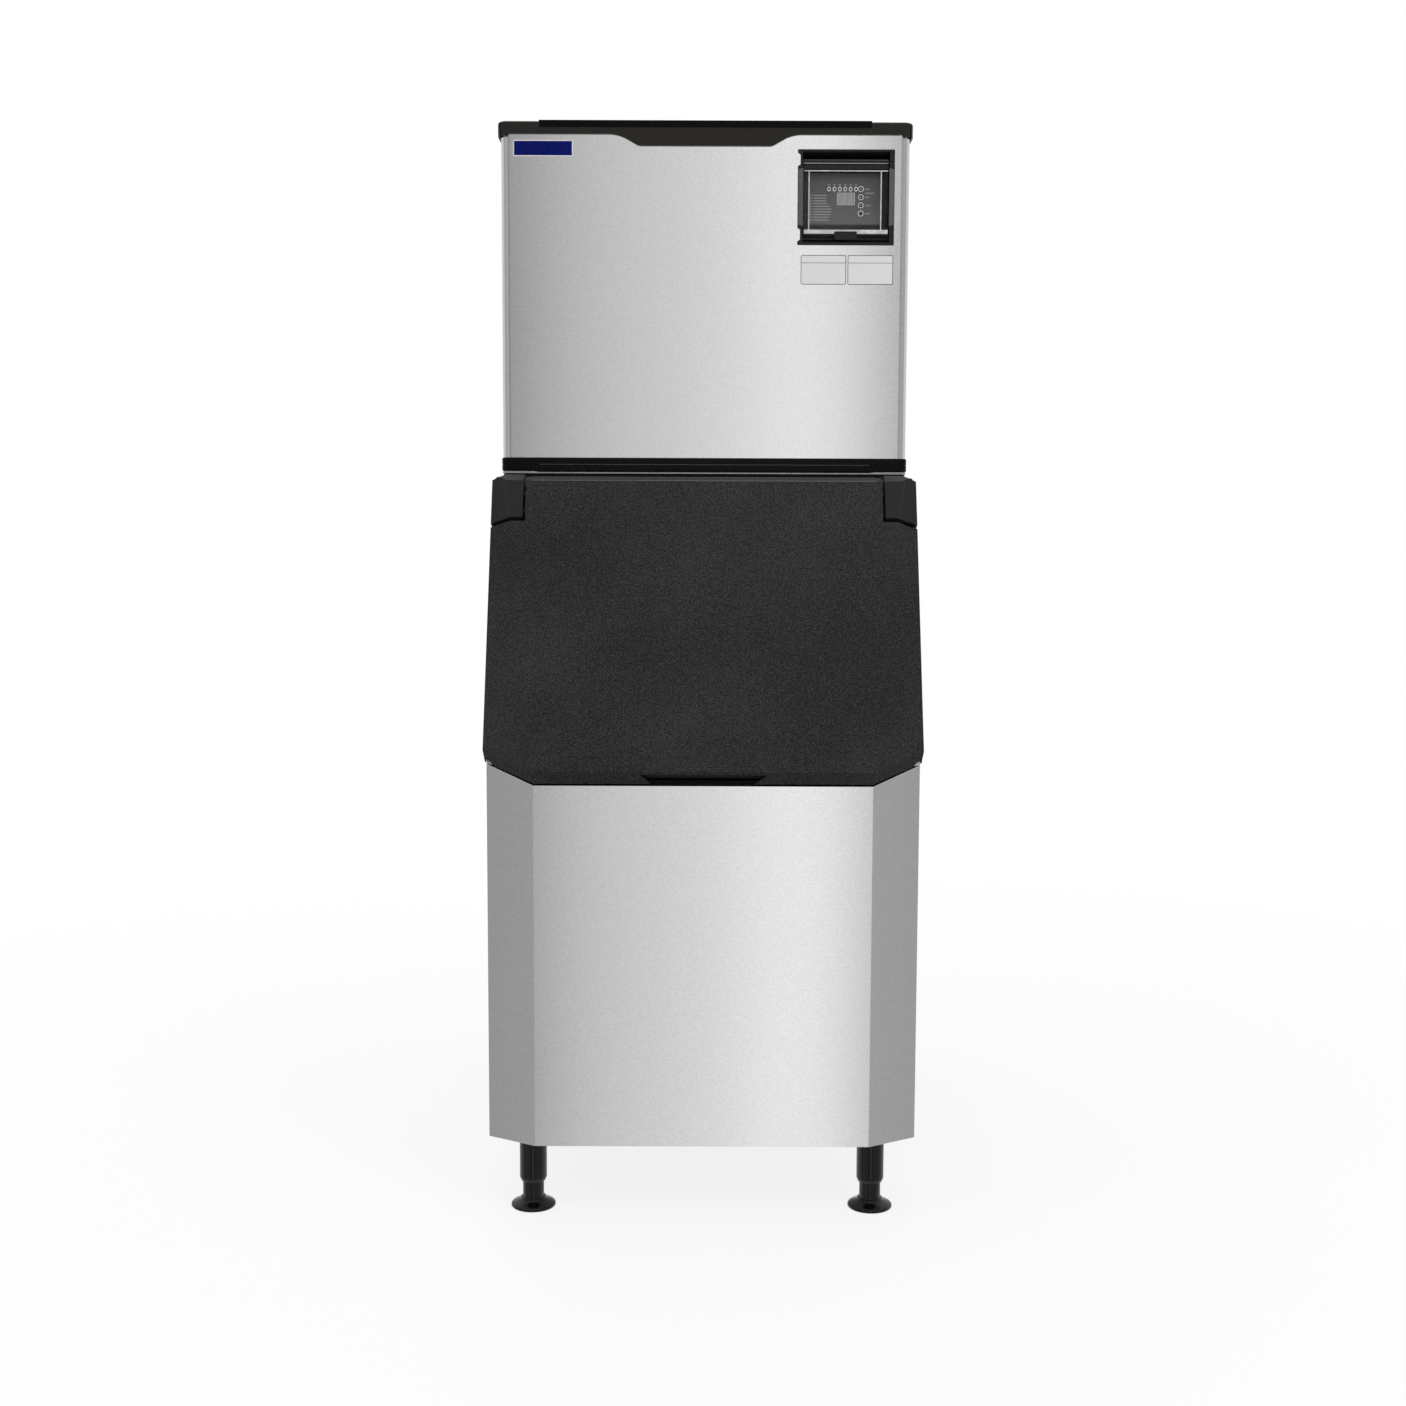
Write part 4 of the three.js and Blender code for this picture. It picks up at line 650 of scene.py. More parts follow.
# Each CAD node takes the finish of its own slot
slotOf = {row["node"]: row["material_slot"] for row in frame["record"]["subparts"]}
for name, node in cadNodes.items():
    for holder in node.material_slots:
        holder.material = finishes[slotOf[name]]


# Head: front sheet with rolled corners and the opening for the controls

panelSetup = {"half": 280, "front": -174.955, "deep": 22, "low": 996.3, "high": 1447.2,
              "corner": 12, "steps": 12, "sheet": 1.2, "hole": {"x": 192.75, "z": 1350.75, "half": 61.9}}


def makeFrontPanel():
    half, front, low, high = values(panelSetup, "half front low high")
    piece = addBlock("front_panel", (-half, front, low), (half, front + panelSetup["deep"], high))
    editing(piece)
    pickEdges(lambda a, b: near(a.y, front) and near(b.y, front) and near(a.x, b.x))
    roundPicked(panelSetup["corner"], panelSetup["steps"])
    pickFaces(lambda middle, normal: abs(normal.z) > 0.9 or normal.y > 0.9)
    bpy.ops.mesh.delete(type="FACE")
    doneEditing()
    useModifier(piece, "SOLIDIFY", thickness=panelSetup["sheet"] * mm, offset=-1)
    x, z, reach = values(panelSetup["hole"], "x z half")
    cutAway(piece, addBlock("opening", (x - reach, front - 5, z - reach), (x + reach, front + 5, z + reach)))
    finishPiece(piece, "stainless_steel", replaced=["head_front_panel"])


# Top cap: rolled corners and a drop tab in the front edge

capSetup = {"half": 284, "front": -178.955, "wallBack": -175.255, "back": 407.5, "low": 1434, "top": 1450.5,
            "corner": 14, "edge": 3, "ends": 270, "endDrop": 3, "roof": 1447.5, "wall": 281,
            "tab": {"half": 91, "shoulder": 118.5, "drop": 15.5, "curve": 12, "footCurve": 4}}


def makeTopCap():
    half, front, back, low, top = values(capSetup, "half front back low top")
    tab, wallBack = capSetup["tab"], capSetup["wallBack"]
    piece = addBlock("top_cap", (-half, front, low), (half, back, top))
    editing(piece)
    pickEdges(lambda a, b: near(abs(a.x), half) and near(a.x, b.x) and near(a.y, b.y) and abs(a.z - b.z) > 5)
    roundPicked(capSetup["corner"], 10)
    for x in (-capSetup["ends"], -tab["shoulder"], tab["shoulder"], capSetup["ends"]):
        slicePiece((x, 0, 0), (1, 0, 0))
    slicePiece((0, wallBack, 0), (0, 1, 0))

    pickFaces(lambda middle, normal: normal.z < -0.9 and abs(middle.x) < 10 and middle.y < wallBack)
    pull(z=-tab["drop"])
    stretchPicked(tab["half"] / tab["shoulder"], 1, 1, (0, front, low))
    foot = low - tab["drop"]
    for level, reach, curve in ((low, tab["shoulder"], tab["curve"]), (foot, tab["half"], tab["footCurve"])):
        pickEdges(lambda a, b: near(a.x, b.x) and near(a.z, level) and near(b.z, level) and near(abs(a.x), reach)
                  and abs(a.y - b.y) > 2 and max(a.y, b.y) < wallBack + 1)
        roundPicked(curve, 8)
    pickFaces(lambda middle, normal: normal.z < -0.9 and abs(middle.x) > capSetup["ends"] and near(middle.z, low))
    pull(z=-capSetup["endDrop"])

    pickFaces(lambda middle, normal: normal.z > 0.9)
    bpy.ops.mesh.dissolve_faces()
    pickEdges(lambda a, b: near(a.z, top) and near(b.z, top)
              and not near(a.y, back) and not near(b.y, back))
    roundPicked(capSetup["edge"], 4)
    doneEditing()
    wall = capSetup["wall"]
    cutAway(piece, addBlock("hollow", (-wall, wallBack, low - 40), (wall, back + 40, capSetup["roof"])))
    finishPiece(piece, "cap_plastic", replaced=["head_top_cap"], smooth=35)


# Raised lid on the cap, with a dark lip down over the cap's front edge

lidSetup = {"half": 227, "slope": -156, "lipBack": -176.4, "front": -179.35, "back": 398, "under": 1450.2,
            "top": 1453.9, "fall": 1.9, "brow": 0.4, "lip": 1442.2, "edge": 0.9, "ends": 1.4}


def makeLid():
    half, front, lipBack, under = values(lidSetup, "half front lipBack under")
    piece = addBlock("cap_lid", (-half, lidSetup["slope"], under), (half, lidSetup["back"], lidSetup["top"]))
    editing(piece)
    pickFaces(lambda middle, normal: normal.y < -0.9)
    for reach, fall in ((lipBack - lidSetup["slope"], lidSetup["fall"]), (front - lipBack, lidSetup["brow"])):
        pull(y=reach)
        pickPoints(lambda point: near(point.y, lipBack if reach < -9 else front) and point.z > under + 0.5)
        shift(z=-fall)
        pickFaces(lambda middle, normal: normal.y < -0.9)
    pickFaces(lambda middle, normal: normal.z < -0.9 and middle.y < lipBack)
    pull(z=lidSetup["lip"] - under)
    pickEdges(lambda a, b: near(a.y, b.y) and near(abs(a.x), half) and near(abs(b.x), half) and abs(a.z - b.z) > 2)
    roundPicked(lidSetup["ends"], 4)
    doneEditing()
    softenEdges(piece, lidSetup["edge"], 3, 40)
    finishPiece(piece, "cap_plastic", "lid_plastic", smooth=35)


# Base strip with its pressed line, and a pale bead in the line: a painted highlight

stripSetup = {"half": 281.3, "front": -177.455, "back": 407.5, "low": 977.8, "high": 996, "corner": 10,
              "line": 986.9, "lineWide": 1.0, "lineDeep": 0.7, "wide": 16, "edge": 1.6,
              "bead": {"half": 228, "tall": 0.6, "sunk": 0.25, "thick": 1, "round": 0.15},
              "lip": {"half": 230, "front": -176.2, "back": -174.7, "low": 976.2, "taper": 12}}


def makeBaseStrip():
    half, front, back, low, high = values(stripSetup, "half front back low high")
    line, lineHalf = stripSetup["line"], stripSetup["lineWide"] / 2
    piece = addBlock("base_strip", (-half, front, low), (half, back, high))
    editing(piece)
    pickEdges(lambda a, b: near(a.y, front) and near(b.y, front) and near(a.x, b.x))
    roundPicked(stripSetup["corner"], 8)
    for level in (line - lineHalf, line + lineHalf):
        slicePiece((0, 0, level), (0, 0, 1))
    pickFaces(lambda middle, normal: abs(normal.z) < 0.1 and near(middle.z, line) and normal.y < 0.5)
    bpy.ops.mesh.extrude_region_shrink_fatten(
        TRANSFORM_OT_shrink_fatten={"value": -stripSetup["lineDeep"] * mm},
    )
    pickEdges(lambda a, b: (near(a.z, low) and near(b.z, low) or near(a.z, high) and near(b.z, high))
              and not (near(a.y, back) and near(b.y, back)))
    roundPicked(stripSetup["edge"], 3)
    doneEditing()
    wide = stripSetup["wide"]
    cutAway(piece, addBlock("inside", (wide - half, front + wide, low - 5), (half - wide, back - wide, high + 5)))
    lip = stripSetup["lip"]
    reach = lip["half"]
    hem = addBlock("hem", (-reach, lip["front"], lip["low"]), (reach, lip["back"], low + 1))
    editing(hem)
    pickFaces(lambda middle, normal: normal.z > 0.9)
    stretchPicked(1 + lip["taper"] / reach, 1, 1, (0, 0, low))
    doneEditing()
    combine(piece, hem, "UNION")
    finishPiece(piece, "gloss_black_plastic", "strip_plastic", ["head_base_strip"], 35)

    # The bead is painted pale as a highlight in the pressed line
    reach, tall, sunk, thick = values(stripSetup["bead"], "half tall sunk thick")
    bead = addBlock("strip_painted_highlight", (-reach, front + sunk, line - tall / 2),
                    (reach, front + sunk + thick, line + tall / 2))
    softenEdges(bead, stripSetup["bead"]["round"])
    finishPiece(bead, "gloss_black_plastic", "cheek_plastic", smooth=35)


# Rubber along the seam: a lip of the gasket and the trim clipped on the deck plate's front edge

sealSetup = {
    "gasket_lip": {"half": 276, "front": -175.1, "back": -172.9, "low": 969.8, "high": 974.6},
    "deck_trim": {"half": 237.8, "front": -229.6, "back": -225.5, "low": 966.1, "high": 970.3},
    "round": 0.5,
}


def makeSeals():
    for name in ("gasket_lip", "deck_trim"):
        half, front, back, low, high = values(sealSetup[name], "half front back low high")
        strip = addBlock(name, (-half, front, low), (half, back, high))
        softenEdges(strip, sealSetup["round"], 3)
        finishPiece(strip, "rubber", "seal_rubber")


# Legs: a plain tube with a tapered end, and a foot that screws up inside it

legSetup = {
    "places": [("front_left", -224, -365.5), ("front_right", 224, -365.5),
               ("rear_left", -224, 350.5), ("rear_right", 224, 350.5)],
    "tube": [(15.6, 35), (16.2, 35.3), (17.8, 39.4), (18, 40.2), (18, 41.5), (18, 100.2)],
    "bore": [(14.4, 30), (14.4, 90)], "sides": 64,
    "foot": [(28.4, 0), (29.4, 1), (29.5, 2), (29.3, 3.3), (28.6, 4.3), (26.5, 5.5), (23, 7), (19.5, 8.6),
             (17.4, 9.9), (16.8, 10.8), (16.6, 12.2), (16, 12.9), (14.5, 13.2), (14, 13.9), (14, 70)],
}


def makeLegs():
    tube, bore, foot = (addTurned(name, legSetup[name], legSetup["sides"]) for name in ("tube", "bore", "foot"))
    cutAway(tube, bore)
    for name, x, y in legSetup["places"]:
        finishPiece(ownCopy(tube, "leg_" + name, (x, y, 0)), "gloss_black_plastic",
                    replaced=["leg_tube_" + name], smooth=40)
        finishPiece(ownCopy(foot, "foot_pad_" + name, (x, y, 0)), "gloss_black_plastic",
                    replaced=["levelling_foot_" + name], smooth=40, body="foot_" + name)
    dropSpares(tube, foot)


# Bin: folded shell, leaning door with two pale beads on its crown as painted highlights, hinge covers drawn in a
# little at their fronts.
# The solids of shell, door and covers are taken over and their edges rounded; the shell takes a paler copy of the
# steel, painted light

edgeSetup = {"shell": 1.4, "door": 1.6, "hinge": 1.7}
crownSetup = {"half": 231, "thick": 1.3, "lines": [(-271.4, 961.9), (-255.6, 966.6)]}
gapSetup = {"front": -240, "outer": 284.5, "top": 970, "across": 0.977, "up": 0.984}


def makeBinPieces():
    shell = softenEdges(mergedCopy("bin_outer_shell", "bin_shell"), edgeSetup["shell"], 3)
    finishPiece(shell, "stainless_steel", "bin_steel_painted_light", ["bin_outer_shell"])
    door = softenEdges(mergedCopy("bin_door_shell", "door_shell"), edgeSetup["door"], 3, 9)
    finishPiece(door, "door_plastic", replaced=["bin_door_shell"], smooth=20, body="door")
    # Two pale beads along the crown's edges: painted highlights
    reach, thick = crownSetup["half"], crownSetup["thick"] / 2
    beads = [softenEdges(addBlock("bead", (-reach, y - thick, z - thick), (reach, y + thick, z + thick)), thick / 2, 3)
             for y, z in crownSetup["lines"]]
    finishPiece(joinAll("door_crown_painted_highlights", *beads), "door_plastic", "cheek_plastic", smooth=35, body="door")
    for side, outward in (("left", -1), ("right", 1)):
        cover = mergedCopy("hinge_cover_" + side, "hinge_cap_" + side)
        editing(cover)
        pickPoints(lambda point: point.y < gapSetup["front"])
        stretchPicked(gapSetup["across"], 1, gapSetup["up"], (outward * gapSetup["outer"], 0, gapSetup["top"]))
        doneEditing()
        softenEdges(cover, edgeSetup["hinge"], 3, 16)
        finishPiece(cover, "hinge_plastic", replaced=["hinge_cover_" + side], smooth=20)


# Under each hinge cover: a sheet over the shell's open top, and a ledge that wraps the shell's corner

seatSetup = {
    "inner": 236, "hollow": 241.7, "outer": 279.9, "front": -243, "deckFront": -231, "back": -184,
    "low": 966.03, "high": 966.28, "edge": 0.08,
    "ledge": {"inner": 273.5, "outer": 281.3, "front": -244.5, "back": -186.7, "low": 962.9, "high": 967.1,
              "round": 2.6},
    "room": {"x": 280.25, "z": 966.3},
}


def makeCoverSeats():
    low, high, outer, deckFront = values(seatSetup, "low high outer deckFront")
    sheet = addBlock("sheet", (seatSetup["inner"], deckFront, low), (outer, seatSetup["back"], high))
    apron = addBlock("apron", (seatSetup["hollow"], seatSetup["front"], low), (outer, deckFront + 1, high))
    combine(sheet, apron, "UNION")
    softenEdges(sheet, seatSetup["edge"])
    inner, outer, front, back, low, high = values(seatSetup["ledge"], "inner outer front back low high")
    ledge = roundEdges(
        addBlock("ledge", (inner, front, low), (outer, back, high)),
        lambda a, b: near(a.x, outer) and near(b.x, a.x) and near(a.z, high) and near(b.z, a.z),
        seatSetup["ledge"]["round"], 5,
    )
    room = seatSetup["room"]
    cutAway(ledge, addBlock("room", (200, front - 5, 900), (room["x"], back + 5, room["z"])))
    right = joinAll("cover_seat_right", sheet, ledge)
    for seat in (right, mirrorPiece(right, "cover_seat_left")):
        finishPiece(seat, "hinge_plastic", smooth=35)


# A round bar along one axis, used for barrels, bores and lenses
def addBar(name, radius, low, high, centre, axis, sides=40):
    turn = {"X": (0, 90, 0), "Y": (-90, 0, 0)}[axis]
    return moveTo(addTurned(name, [(radius, low), (radius, high)], sides), centre, turn)


# Flat thin plate with rounded corners facing the front
def addPlate(name, left, right, low, high, front, back, corner, steps=6):
    piece = addBlock(name, (left, front, low), (right, back, high))
    return roundEdges(piece, lambda a, b: near(a.x, b.x) and near(a.z, b.z), corner, steps)


# A plate's front face set in by a rim and pushed back
def sinkFace(piece, rim, deep):
    editing(piece)
    pickFaces(lambda middle, normal: normal.y < -0.9)
    bpy.ops.mesh.inset(thickness=rim * mm)
    pull(y=deep)
    doneEditing()
    return piece


# A flat raised ring: a disc with its middle cut out, taller than wide where tall is over 1
def addRing(name, outer, inner, front, back, tall=1.0):
    ring = addBar(name, outer, front, back, (0, 0, 0), "Y")
    cutAway(ring, addBar("middle", inner, front - 1, back + 1, (0, 0, 0), "Y"))
    ring.scale = (1, 1, tall)
    activate(ring)
    applyPlace()
    return ring


# Controls, measured from the middle of their bezel: x to the right, y back from the steel, z up

controlsAt = (192.75, -174.955, 1350.75)
bezelSetup = {
    "half": 66.25, "low": -64.4, "top": 63.7, "front": -1.5, "flangeBack": -0.3, "corner": 1.2, "edge": 0.45,
    "tray": 61.2, "back": 18.8, "mouth": 59.5, "mouthUp": 60.75, "floor": 16.3, "floorLow": -54.75, "floorHigh": 49.75,
    "notch": {"x": 62.6, "low": 43.5, "high": 57, "flare": 1.75, "deepTo": 3, "shallow": 0.55},
    "drill": {"lightHole": 2.4, "buttonHole": 4.1, "start": 10, "end": 25, "sides": 24},
}
cheekSetup = {"inner": 58.9, "outer": 65.4, "up": 37, "front": -1.95, "back": -1.3, "sunk": 0.35, "spread": 1.05,
              "edge": 0.25}
cowlSetup = {
    "half": 58.6, "front": 3.2, "back": 16.2, "low": 45.4, "high": 51.6, "round": 1.2,
    "ridge": {"half": 58.2, "front": 2.5, "back": 4.5, "edge": 0.2},
    "ridges": [("upper", 50.2, 0.9, "cheek_plastic"), ("lower", 45.9, 1.1, "print_faint")],
}
fasciaSetup = {"half": 59, "low": -51.5, "high": 35, "front": 14, "back": 16, "corner": 1.5,
               "drill": {"lightHole": 2.3, "buttonHole": 4.0, "start": 10, "end": 20, "sides": 32}}
screenSetup = {"x": 0.9, "z": 0.25, "half": 11.2, "halfUp": 7.3, "front": 13.7, "back": 16, "corner": 0.8, "rim": 0.8,
               "rimDeep": 0.25, "gap": 0.2,
               "border": {"gap": 0.3, "wide": 0.7, "front": 13.5, "back": 14.15, "corner": 0.9}}
lightSetup = {
    "left": -22.45, "pitch": 7.44, "count": 6, "z": 13.55, "lensBack": 20.2,
    "lens": [(1.35, 0), (1.35, 6), (1.2, 6.35), (0.6, 6.6)],
    "ring": {"outer": 2.55, "inner": 1.35, "front": 13.55, "back": 14.15, "tall": 1.28},
    "bar": {"left": 3.4, "right": 1.9, "half": 3.4, "front": 19.2, "back": 20.5, "corner": 0.8},
}
buttonSetup = {
    "x": 21.45, "z": 13.55, "pitch": 11, "count": 4, "back": 20.1, "dotBack": 13.3,
    "cap": [(4.4, 0), (4.4, 0.9), (3.7, 1.0), (3.7, 7.1), (3.6, 7.4), (3.0, 7.4), (2.7, 7.3), (2.3, 7.1),
            (1.5, 6.95)],
    "ring": {"outer": 3.95, "inner": 2.8, "front": 12.55, "back": 13.2},
    "dot": [(0.8, 0), (0.8, 0.25), (0.6, 0.4)],
}
lightPlaces = [(lightSetup["left"] + step * lightSetup["pitch"], 0, lightSetup["z"])
               for step in range(lightSetup["count"])]
buttonPlaces = [(buttonSetup["x"], 0, buttonSetup["z"] - step * buttonSetup["pitch"])
                for step in range(buttonSetup["count"])]


def setControl(piece):
    return moveTo(piece, controlsAt)


# Holes for the lights and the buttons, through a plate that faces the front
def drillControls(piece, lightHole, buttonHole, start, end, sides):
    for places, radius in ((lightPlaces, lightHole), (buttonPlaces, buttonHole)):
        for place in places:
            cutAway(piece, addBar("hole", radius, start, end, place, "Y", sides))


def makeBezel():
    half, front, mouth, mouthUp, floor, tray = values(bezelSetup, "half front mouth mouthUp floor tray")
    piece = addPlate("control_recess", -half, half, bezelSetup["low"], bezelSetup["top"], front,
                     bezelSetup["flangeBack"], bezelSetup["corner"], 4)
    combine(piece, addBlock("tray", (-tray, front / 2, -tray), (tray, bezelSetup["back"], tray)), "UNION")
    well = addBlock("well", (-mouth, -6, -mouthUp), (mouth, floor, mouthUp))
    editing(well)
    slicePiece((0, front, 0), (0, 1, 0))
    pickPoints(lambda point: near(point.y, floor) and point.z > 0)
    shift(z=bezelSetup["floorHigh"] - mouthUp)
    pickPoints(lambda point: near(point.y, floor) and point.z < 0)
    shift(z=bezelSetup["floorLow"] + mouthUp)
    doneEditing()
    cutAway(piece, well)
    notch = bezelSetup["notch"]
    for side, notchBack in ((-1, notch["deepTo"]), (1, front + notch["shallow"])):
        for end in (-1, 1):
            low, high = sorted((end * notch["low"], end * notch["high"]))
            inner, outer = sorted((side * notch["x"], side * (half + 4)))
            bite = addBlock("bite", (inner, front - 3, low), (outer, notchBack, high))
            editing(bite)
            pickFaces(lambda middle, normal: normal.x * side > 0.9)
            stretchPicked(1, 1, notch["flare"], (0, 0, (low + high) / 2))
            doneEditing()
            cutAway(piece, bite)
    drillControls(piece, **bezelSetup["drill"])
    softenEdges(piece, bezelSetup["edge"], 2, 30)
    finishPiece(setControl(piece), "bezel_plastic", replaced=["control_bezel"], smooth=35)


# Cheeks down both sides of the opening, sloping in towards the cover, painted grey as the sheen that black plastic
# shows on a slope
def makeCheeks():
    inner, outer, up, front, back = values(cheekSetup, "inner outer up front back")
    right = addBlock("cheek", (inner, front, -up), (outer, back, up))
    editing(right)
    pickFaces(lambda middle, normal: normal.x < -0.9)
    shift(y=cheekSetup["sunk"])
    stretchPicked(1, 1, cheekSetup["spread"], (inner, 0, 0))
    doneEditing()
    softenEdges(right, cheekSetup["edge"], 2, 30)
    pair = joinAll("control_cheeks", right, mirrorPiece(right, "left_cheek"))
    finishPiece(setControl(pair), "bezel_plastic", "cheek_plastic", smooth=35)


# Fixed cowl over the cover's hinge, with two ridges along it painted pale as highlights
def makeCowl():
    half, front, back, low, high = values(cowlSetup, "half front back low high")
    cowl = addBlock("control_cowl", (-half, front, low), (half, back, high))
    roundEdges(cowl, lambda a, b: near(a.y, front) and near(b.y, front) and near(a.z, b.z), cowlSetup["round"], 4)
    finishPiece(setControl(cowl), "bezel_plastic")
    half, front, back, edge = values(cowlSetup["ridge"], "half front back edge")
    # Both ridges are painted pale as highlights
    for name, level, tall, look in cowlSetup["ridges"]:
        ridge = addBlock("cowl_ridge_" + name, (-half, front, level - tall / 2), (half, back, level + tall / 2))
        finishPiece(setControl(softenEdges(ridge, edge)), "bezel_plastic", look, smooth=35)


def makeFasciaPieces():
    half, low, high, front, back, corner = values(fasciaSetup, "half low high front back corner")
    plate = addPlate("control_film", -half, half, low, high, front, back, corner)
    x, z, wide, tall, gap = values(screenSetup, "x z half halfUp gap")
    cutAway(plate, addBlock("window", (x - wide - gap, front - 2, z - tall - gap),
                            (x + wide + gap, back + 2, z + tall + gap)))
    drillControls(plate, **fasciaSetup["drill"])
    finishPiece(setControl(plate), "fascia_print", replaced=["control_fascia"])

    front, back, corner, rim, rimDeep = values(screenSetup, "front back corner rim rimDeep")
    screen = addPlate("display_pane", x - wide, x + wide, z - tall, z + tall, front, back, corner, 3)
    finishPiece(setControl(sinkFace(screen, rim, rimDeep)), "display_window", replaced=["control_display"])


# Lenses on their light guide, and the rings round them and round the display
def makeLights():
    lens = moveTo(addTurned("lens", lightSetup["lens"], 32), (0, lightSetup["lensBack"], 0), (90, 0, 0))
    ring = addRing("ring", **lightSetup["ring"])
    lenses = [ownCopy(lens, "lens_part", place) for place in lightPlaces]
    rings = [ownCopy(ring, "ring_part", place) for place in lightPlaces]
    left, right, half, front, back, corner = values(lightSetup["bar"], "left right half front back corner")
    z = lightSetup["z"]
    bar = addPlate("guide_bar", lightPlaces[0][0] - left, lightPlaces[-1][0] + right, z - half, z + half, front, back,
                   corner, 3)
    lamps = setControl(joinAll("indicator_lenses", *lenses, bar))
    finishPiece(lamps, "clear_plastic", "lens_dark", ["control_light_guide"], 40)

    x, z, wide, tall = values(screenSetup, "x z half halfUp")
    gap, band, front, back, corner = values(screenSetup["border"], "gap wide front back corner")
    wide, tall = wide + gap, tall + gap
    border = addPlate("ring_part", x - wide - band, x + wide + band, z - tall - band, z + tall + band, front, back,
                      corner, 4)
    rings.append(cutAway(border, addBlock("middle", (x - wide, 12, z - tall), (x + wide, 16, z + tall))))
    finishPiece(setControl(joinAll("fascia_rings", *rings)), "fascia_print", "print_pale", smooth=35)
    dropSpares(lens, ring)


# Button caps with a pale ring on each, and a dot on all but the last
def makeButtons():
    cap = moveTo(addTurned("button", buttonSetup["cap"], 40), (0, buttonSetup["back"], 0), (90, 0, 0))
    dot = moveTo(addTurned("dot", buttonSetup["dot"], 24), (0, buttonSetup["dotBack"], 0), (90, 0, 0))
    ring = addRing("halo", **buttonSetup["ring"])
    for number, place in enumerate(buttonPlaces, 1):
        name = str(number)
        key = setControl(ownCopy(cap, "button_cap_" + name, place))
        finishPiece(key, "button_plastic", replaced=["control_button_" + name], smooth=35, body="button_" + name)
        marks = [ownCopy(ring, "button_ring", place)]
        if number < buttonSetup["count"]:
            marks.append(ownCopy(dot, "button_dot", place))
        mark = setControl(joinAll("button_mark_" + name, *marks))
        finishPiece(mark, "button_plastic", "print_pale", smooth=35, body="button_" + name)
    dropSpares(cap, dot, ring)


# Plain dashes on the film: rows with a short dash before each, a column beside the buttons, one over each light
dashSetup = {
    "bulletX": -48.4, "bullet": 2.6, "rowX": -43.9, "top": 5.0, "pitch": 3.68, "high": 1.25,
    "rows": [18, 18.5, 17.5, 19, 24, 25.5, 24.5, 24, 21.5, 21],
    "columnX": 27.2, "column": [(13.6, 6.2), (8.1, 13), (2.4, 5.8), (-8.6, 7.8), (-19.5, 7.2)],
    "overLight": 3.2, "overLightZ": 19.4, "proud": 0.08, "sunk": 0.1, "round": 0.3,
}


def makeDashes():
    front, half = fasciaSetup["front"], dashSetup["high"] / 2
    dashes = []  # left end, height and length of each
    for row, length in enumerate(dashSetup["rows"]):
        z = dashSetup["top"] - row * dashSetup["pitch"]
        dashes += [(dashSetup["bulletX"], z, dashSetup["bullet"]), (dashSetup["rowX"], z, length)]
    dashes += [(dashSetup["columnX"], z, length) for z, length in dashSetup["column"]]
    length = dashSetup["overLight"]
    dashes += [(place[0] - length / 2, dashSetup["overLightZ"], length) for place in lightPlaces]
    face, root = front - dashSetup["proud"], front + dashSetup["sunk"]
    bars = [addBlock("dash", (x, face, z - half), (x + length, root, z + half)) for x, z, length in dashes]
    piece = setControl(joinAll("fascia_dashes", *bars))
    roundEdges(piece, lambda a, b: near(a.x, b.x) and near(a.z, b.z), dashSetup["round"], 2)
    finishPiece(piece, "fascia_print", "print_faint")


# Clear flip-up cover: pane, pale lines painted along its edges as highlights, barrel with its skirt and pins, finger
# tab
flap = "control_cover_flap"
coverSetup = {
    "half": 57.6, "front": 3, "back": 5, "low": -50.75, "top": 36.4, "corner": 1.0, "round": 0.5,
    "sideLines": (-50.6, 48.2), "line": 1.5, "lineFront": 1.8, "sideLineThick": 0.5, "lineEdge": 0.3,
    "ledgeLow": 1.85, "ledge": 5.6, "ledgeFront": 0.7,
    "barrelZ": 41, "barrelY": 5, "barrel": 3.9, "barrelEdge": 0.4, "pin": 2, "pinEnd": 62.9,
}
tabSetup = {"x": -0.25, "half": 15.5, "low": -57.3, "high": -45.75, "front": -1.2, "back": 0.3, "corner": 1.0,
            "lip": 2.6, "lipProud": 0.9, "edge": 0.35}


def makeCover():
    half, front, back, low, top, line = values(coverSetup, "half front back low top line")
    pane = addPlate("cover_pane", -half, half, low, top, front, back, coverSetup["corner"], 3)
    roundEdges(pane, lambda a, b: near(a.y, front) and near(b.y, front), coverSetup["round"], 3)
    finishPiece(setControl(pane), "clear_plastic", replaced=["control_cover"], smooth=35, body=flap)

    # Pale lines painted along the top, ledge and sides of the cover as highlights
    ledge = low + coverSetup["ledgeLow"]
    edges = [
        addBlock("edge", (-half, coverSetup["lineFront"], top - line), (half, front, top)),
        addBlock("edge", (-half, coverSetup["ledgeFront"], ledge), (half, front, ledge + coverSetup["ledge"])),
    ]
    edges += [addBlock("edge", (x - line / 2, front - coverSetup["sideLineThick"], ledge), (x + line / 2, front, top))
              for x in coverSetup["sideLines"]]
    for edge in edges:
        softenEdges(edge, coverSetup["lineEdge"])
    finishPiece(setControl(joinAll("cover_edge_highlights", *edges)), "clear_plastic", "edge_highlight_paint", smooth=35, body=flap)

    barrelZ, pinEnd = coverSetup["barrelZ"], coverSetup["pinEnd"]
    axle = (0, coverSetup["barrelY"], barrelZ)
    barrel = addBar("barrel", coverSetup["barrel"], -half, half, axle, "X", 48)
    softenEdges(barrel, coverSetup["barrelEdge"], 2, 40)
    skirt = addBlock("skirt", (-half, front + 0.1, top - 0.6), (half, back, barrelZ))
    pins = addBar("pins", coverSetup["pin"], -pinEnd, pinEnd, axle, "X", 24)
    hinge = setControl(joinAll("cover_hinge", barrel, skirt, pins))
    finishPiece(hinge, "bezel_plastic", smooth=35, body=flap)


